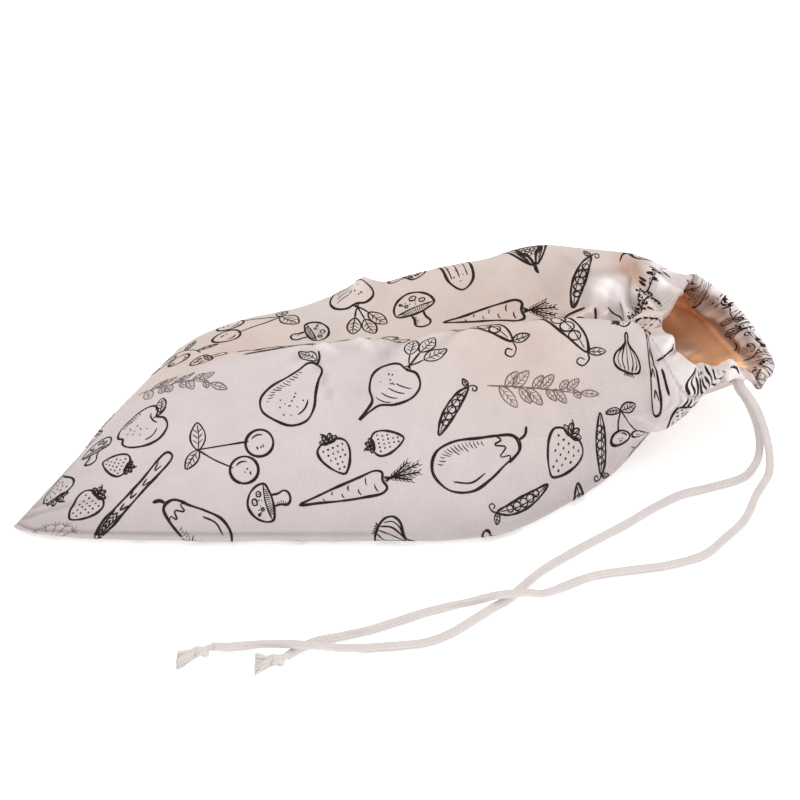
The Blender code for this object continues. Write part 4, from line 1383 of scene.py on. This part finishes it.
def printPiece(skin, materials):
    strips, pales, seed = [], [], 0
    for path, width, closed, spin, centre, pale in placeMotifs(skin) + gatheredInk(skin) + foldInk(skin):
        seed += 1
        run = np.gradient(path, axis=0)
        run /= np.maximum(np.linalg.norm(run, axis=1, keepdims=True), 1e-9)
        halfWidths = inkWidths(len(path), width, closed, seed)[:, None] / 2
        left = np.stack([-run[:, 1], run[:, 0]], axis=1) * halfWidths
        edges = [(path + side * left) @ spin.T + centre for side in (-1, 1)]
        keep = (edges[0][:, 1] > 3.0) & (edges[0][:, 1] < skin["along"][-1] - 0.5)
        marks = np.nonzero(np.diff(np.concatenate([[0], keep.astype(int), [0]])))[0]
        for a, b in zip(marks[::2], marks[1::2]):
            if b - a > 1:
                strips.append((edges[0][a:b], edges[1][a:b]))
                pales.append(pale)
    places = []
    for side in (0, 1):
        spot, normal = onCloth(skin, np.vstack([strip[side] for strip in strips]))
        raised = spot + normal / np.linalg.norm(normal, axis=1, keepdims=True) * ink["lift"]
        raised[:, 2] = np.maximum(raised[:, 2], 0.03)
        places.append(inFrame(raised))
    lengths = [len(strip[0]) for strip in strips]
    ends = set(np.cumsum(lengths)[:-1] - 1)
    paleRows = np.repeat(pales, lengths)
    bm = bmesh.new()
    faces = gridPiece(bm, np.stack(places, axis=1))
    bm.verts.index_update()
    drop = []
    for face in faces:
        row = min(vert.index for vert in face.verts) // 2
        face.material_index = int(paleRows[row])
        longest = max(edge.calc_length() for edge in face.edges)
        if row in ends or longest > ink["longestFace"] * mm:
            drop.append(face)
    bmesh.ops.delete(bm, geom=drop, context="FACES")
    print("print: strokes", len(strips), "faces", len(bm.faces))
    return finishPiece(bm, "gardenPrint", materials, smooth=False)


def inkFinish(name, colour, worn):
    made = newMaterial(name, colour, 0.85)
    tree = made.node_tree
    place = addNode(tree, "ShaderNodeTexCoord").outputs["Object"]
    patches = softNoise(tree, place, 900.0, 2.0)
    wear = addNode(tree, "ShaderNodeMapRange", {"Value": patches, "From Min": 0.5, "From Max": 0.75})
    shader = tree.nodes["Principled BSDF"]
    tree.links.new(mixColours(tree, wear.outputs[0], colour, worn), shader.inputs["Base Color"])
    rough = addNode(tree, "ShaderNodeMapRange", {"Value": patches, "To Min": 0.75, "To Max": 0.95}).outputs[0]
    tree.links.new(rough, shader.inputs["Roughness"])
    return made


skin = printSurface(surface)
inkBrown = inkFinish("inkBrown", ink["colour"], ink["worn"])
inkPale = inkFinish("inkPale", ink["pale"], tuple(2 * c for c in ink["pale"]))
printed = printPiece(skin, [inkBrown, inkPale])
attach(printed, "root")


# The drawstring's free ends: the same routes as their solids, in mm, None where a cord lies on the table

cords = dict(
    diameter=4.5,
    tableGap=0.05,
    perStretch=12,
    step=1.1,
    sides=16,
    routes={
        "cordInner": (
            (179.3, 101.8, 41.0), (180.4, 98.4, 37.3), (184, 94, 34), (188, 89.5, 29), (191.5, 86, 21.5),
            (194, 81, 13.5), (195, 74.5, 7), (194, 66, 3.2), (190, 56, None), (186, 46, None),
            (178, 21, None), (166, 2, None), (155, -13, None), (136, -23, None), (116, -28, None),
            (98, -33, None), (84, -42, None), (72, -53, 4.4), (62, -57, 7.4), (48, -59.5, 7.4),
            (36, -60.5, 4.4), (19, -64, None), (-1, -75, None), (-15, -83, None), (-30, -89, None),
            (-41, -93, None), (-50, -100, None), (-55, -107, 3.0),
        ),
        "cordOuter": (
            (178.3, 107.2, 36.8), (179.2, 104.2, 33.2), (182.5, 101, 29.5), (186, 97, 24.5), (189, 93, 17),
            (190.5, 87.5, 10), (189.5, 80, 5), (186, 72, 2.8), (180, 63, None), (160, 52, None),
            (147, 46, None), (132, 33, None), (116, 16, None), (99, 0, None), (85, -14, None),
            (72, -28, None), (61, -44, None), (54, -55, None), (47, -62, None), (38, -72, None),
            (25, -86, None), (13, -94, None), (0, -97, None), (-15, -99, None), (-30, -102.5, 4.4),
            (-41, -105, 7.4), (-55, -103.5, 7.4), (-66, -99, 4.4), (-77, -97, None), (-86, -99, 2.7),
            (-92, -101, 4.2),
        ),
    },
    nodes={"cordInner": ("cord_a", "tassel_a"), "cordOuter": ("cord_b", "tassel_b")},
    # each end's pieces, the way that its knot points, and its frayed tip's middle, half width and height
    ends={
        "cordInner": ("knotInner", "frayInner", (-0.84, -0.54, 0.0), (-7.6, -1.4), 8.4, 5.2),
        "cordOuter": ("knotOuter", "frayOuter", (-0.86, -0.50, -0.08), (-8.8, -4.4), 5.6, 4.6),
    },
    knotLength=11.4,
    knotLead=5.0,  # the last of the cord before its knot
    knotCord=1.7,  # the radius of the cord where it is pulled tight
    knotTurn=(2.2, 0.45),  # half the knot's curve in its own measure, and the last that eases back
    knotShape=(1.05, 0.72, 0.34),  # across, up and along
    shades=(0.07, 0.20, 0.83),  # what the braid's painted groove shade and the blotches add, and the least
    strands=130,
    strandWidth=0.9,
    braidPitch=0.0026,  # metres along the cord
    colour=(0.650, 0.597, 0.582),
    underShade=(0.0003, 0.0019, 0.5),  # the heights between which a cord darkens, and how much it does
    # the loose strands are painted lighter than the cord's cotton, against the shade between them
    frayColour=(0.72, 0.67, 0.635),
)


def turnFree(path):
    # tangents and normals along a path that don't spin about it
    run = np.gradient(path, axis=0)
    run /= np.linalg.norm(run, axis=1, keepdims=True)
    side = np.cross(run[0], (0.0, 0.0, 1.0))
    sides = []
    for way in run:
        side = side - (side @ way) * way
        side = side / np.linalg.norm(side)
        sides.append(side)
    sides = np.array(sides)
    return sides, np.cross(run, sides)


def tube(bm, path, radii, sides, uv):
    side, lift = turnFree(path)
    angles = np.linspace(0, 2 * math.pi, sides + 1)[None, :, None]
    out = side[:, None, :] * np.cos(angles) + lift[:, None, :] * np.sin(angles)
    rings = path[:, None, :] + out * np.asarray(radii)[:, None, None]
    ends = [np.repeat(path[k][None, None], sides + 1, axis=1) for k in (0, -1)]
    along = np.concatenate([[0.0], np.cumsum(np.linalg.norm(np.diff(path, axis=0), axis=1))])
    table = np.stack(np.meshgrid(np.linspace(0, 1, sides + 1), [0.0, *along * mm, along[-1] * mm]), axis=2)
    return gridPiece(bm, np.concatenate([ends[0], rings, ends[1]]) * mm, uv, table)


def cordPath(route):
    low = cords["diameter"] / 2 + cords["tableGap"]
    points = np.array([(x, y, low if z is None else z) for x, y, z in route], float)
    path = smoothPath(points - tableOrigin, cords["perStretch"])
    path[:, 2] = np.maximum(path[:, 2], low)
    return evenSteps(path, round(pathLength(path) / cords["step"]))


def tubePiece(name, tubes, material):
    # one piece of several tubes, each with its path, radii and sides
    bm = bmesh.new()
    uv = bm.loops.layers.uv.new("alongCord")
    for path, radii, sides in tubes:
        tube(bm, path, radii, sides, uv)
    bmesh.ops.remove_doubles(bm, verts=bm.verts, dist=1e-6)
    return finishPiece(bm, name, [material])


def cordPiece(name, path, material):
    lengths = np.arange(len(path)) * cords["step"]
    radii = cords["diameter"] / 2 * (0.945 + 0.02 * np.sin(lengths / 7.0) + 0.015 * np.sin(lengths / 2.9 + 1))
    return tubePiece(name, [(path, radii, cords["sides"])], material)


def knotPiece(name, start, way, material):
    # an overhand knot pulled tight: a trefoil whose two ends run out along the cord
    side = np.cross(way, (0.0, 0.0, 1.0))
    side /= np.linalg.norm(side)
    top = np.cross(side, way)
    turn, ease = cords["knotTurn"]
    wide, tall, long = cords["knotShape"]
    t = np.linspace(-turn, turn, 90)
    hold = np.clip((turn - np.abs(t)) / ease, 0.0, 1.0)
    hold = hold * hold * (3 - 2 * hold)
    half = (cords["knotLength"] - cords["knotLead"]) / 2
    across = (t ** 3 - 3 * t) * wide * hold
    rise = (t ** 4 - 4 * t ** 2 + 2.0) * tall * hold
    along = half * np.tanh((t ** 5 - 10 * t) * long / half)
    middle = start + way * (cords["knotLead"] + half)
    path = middle + way * along[:, None] + side * across[:, None] + top * rise[:, None]
    path[:, 2] = np.maximum(path[:, 2], cords["knotCord"] + cords["tableGap"])
    path = evenSteps(np.vstack([start, path]), 110)
    return tubePiece(name, [(path, np.full(len(path), cords["knotCord"]), 12)], material)


def frayPiece(name, start, tip, halfWidth, height, material, seed):
    # strands that fan out from the knot to a straight cut, the upper ones standing off the table
    draw = random.Random(seed)
    steps = np.linspace(0, 1, 7)
    radii = cords["strandWidth"] / 2 * np.array([1, 1, 1, 1, 1, 0.95, 0.7])
    strands = []
    for _ in range(cords["strands"]):
        across, up = draw.uniform(-1, 1), draw.random()
        root = start + np.array((0.0, 1.5 * across, 1.5 * (2 * up - 1)))
        end = start + np.array((tip[0] * draw.uniform(0.94, 1.03), tip[1] + halfWidth * across, 0.0))
        end[2] = 0.5 + height * up * (0.35 + 0.65 * draw.random())
        path = root + np.outer(steps, end - root)
        wave = np.sin(steps * 5 + draw.uniform(0, 6)) * 0.35 * steps
        path[:, 1] += wave + 0.6 * halfWidth * across * (steps ** 0.7 - steps)
        path[:, 2] = np.maximum(path[:, 2] + 0.5 * wave, 0.5)
        strands.append((path, radii, 4))
    return tubePiece(name, strands, material)


def unit(way):
    return np.array(way) / np.linalg.norm(way)


# The hem's stitches

stitches = dict(
    pitch=4.2,  # along the cloth before it is gathered
    share=0.62,
    thread=0.32,
)


def stitchPiece(skin, material):
    line = np.interp(gathers["hemStart"], skin["mouth"], skin["along"][:len(skin["mouth"])])
    count = round(skin["around"][-1] / stitches["pitch"])
    pitch = skin["around"][-1] / count
    steps = np.linspace(0.0, stitches["share"], 5)
    lift = np.sin(math.pi * steps / stitches["share"]) * 0.3 + 0.1
    radii = stitches["thread"] * np.array([0.6, 1, 1, 1, 0.6])
    threads = []
    for k in range(count):
        spots, normals = onCloth(skin, np.stack([(k + steps) * pitch, np.full(5, line)], axis=1))
        path = spots + normals * lift[:, None] - tableOrigin
        path[:, 2] = np.maximum(path[:, 2], stitches["thread"])
        threads.append((path, radii, 6))
    return tubePiece("hemStitches", threads, material)


def cordFinish(name):
    # soft braided cotton: four strands each way, with painted shade in the grooves and towards the table
    made = newMaterial(name, cords["colour"], 0.9, sheen=0.15)
    tree = made.node_tree
    shader = tree.nodes["Principled BSDF"]
    flat = addNode(tree, "ShaderNodeUVMap", uv_map="alongCord").outputs[0]
    parts = addNode(tree, "ShaderNodeSeparateXYZ", {0: flat})
    turn = calc(tree, "MULTIPLY", parts.outputs[0], 4 * math.pi)
    run = calc(tree, "MULTIPLY", parts.outputs[1], math.pi / cords["braidPitch"])
    mixed = [calc(tree, way, turn, run) for way in ("ADD", "SUBTRACT")]
    waves = [calc(tree, "ABSOLUTE", calc(tree, "SINE", angle)) for angle in mixed]
    braid = calc(tree, "POWER", calc(tree, "MAXIMUM", *waves), 2.0)
    place = addNode(tree, "ShaderNodeTexCoord").outputs["Object"]
    fibre = softNoise(tree, place, 1600.0, 3.0)
    height = calc(tree, "ADD", braid, calc(tree, "MULTIPLY", fibre, 0.5))
    bump = addNode(tree, "ShaderNodeBump", {"Height": height})
    bump.inputs["Strength"].default_value = 0.45
    bump.inputs["Distance"].default_value = 0.0003
    blotch = softNoise(tree, place, 90.0, 3.0)
    grooves, blotches, least = cords["shades"]
    tone = calc(tree, "ADD", calc(tree, "MULTIPLY", braid, grooves), calc(tree, "MULTIPLY", blotch, blotches))
    low, high, depth = cords["underShade"]
    rise = addNode(tree, "ShaderNodeSeparateXYZ", {0: place}).outputs[2]
    heights = {"Value": rise, "From Min": low, "From Max": high, "To Min": depth, "To Max": 0.0}
    under = addNode(tree, "ShaderNodeMapRange", heights)
    value = calc(tree, "SUBTRACT", calc(tree, "ADD", tone, least), under.outputs[0])
    toned = addNode(tree, "ShaderNodeHueSaturation", {"Value": value, "Color": (*cords["colour"], 1.0)})
    tree.links.new(toned.outputs[0], shader.inputs["Base Color"])
    tree.links.new(calc(tree, "ADD", calc(tree, "MULTIPLY", fibre, 0.15), 0.8), shader.inputs["Roughness"])
    tree.links.new(bump.outputs[0], shader.inputs["Normal"])
    return made


cordCotton = cordFinish("cordCotton")
looseCotton = newMaterial("looseCotton", cords["frayColour"], 0.95, sheen=0.2)
for seed, (name, route) in enumerate(cords["routes"].items()):
    path = cordPath(route)
    cord = cordPiece(name, path, cordCotton)
    knotName, frayName, knotWay, tip, halfWidth, height = cords["ends"][name]
    knotStart = path[-1] - unit(knotWay) * 0.8
    knot = knotPiece(knotName, knotStart, unit(knotWay), cordCotton)
    frayStart = knotStart + unit(knotWay) * (cords["knotLength"] - 0.8)
    fray = frayPiece(frayName, frayStart, tip, halfWidth, height, looseCotton, seed)
    for piece in (cord, knot, fray):
        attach(piece, "root")
    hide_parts(cords["nodes"][name][0])
    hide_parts(cords["nodes"][name][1])
print("cords: made")

sewn = stitchPiece(skin, cordCotton)
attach(sewn, "root")
print("stitches: made")
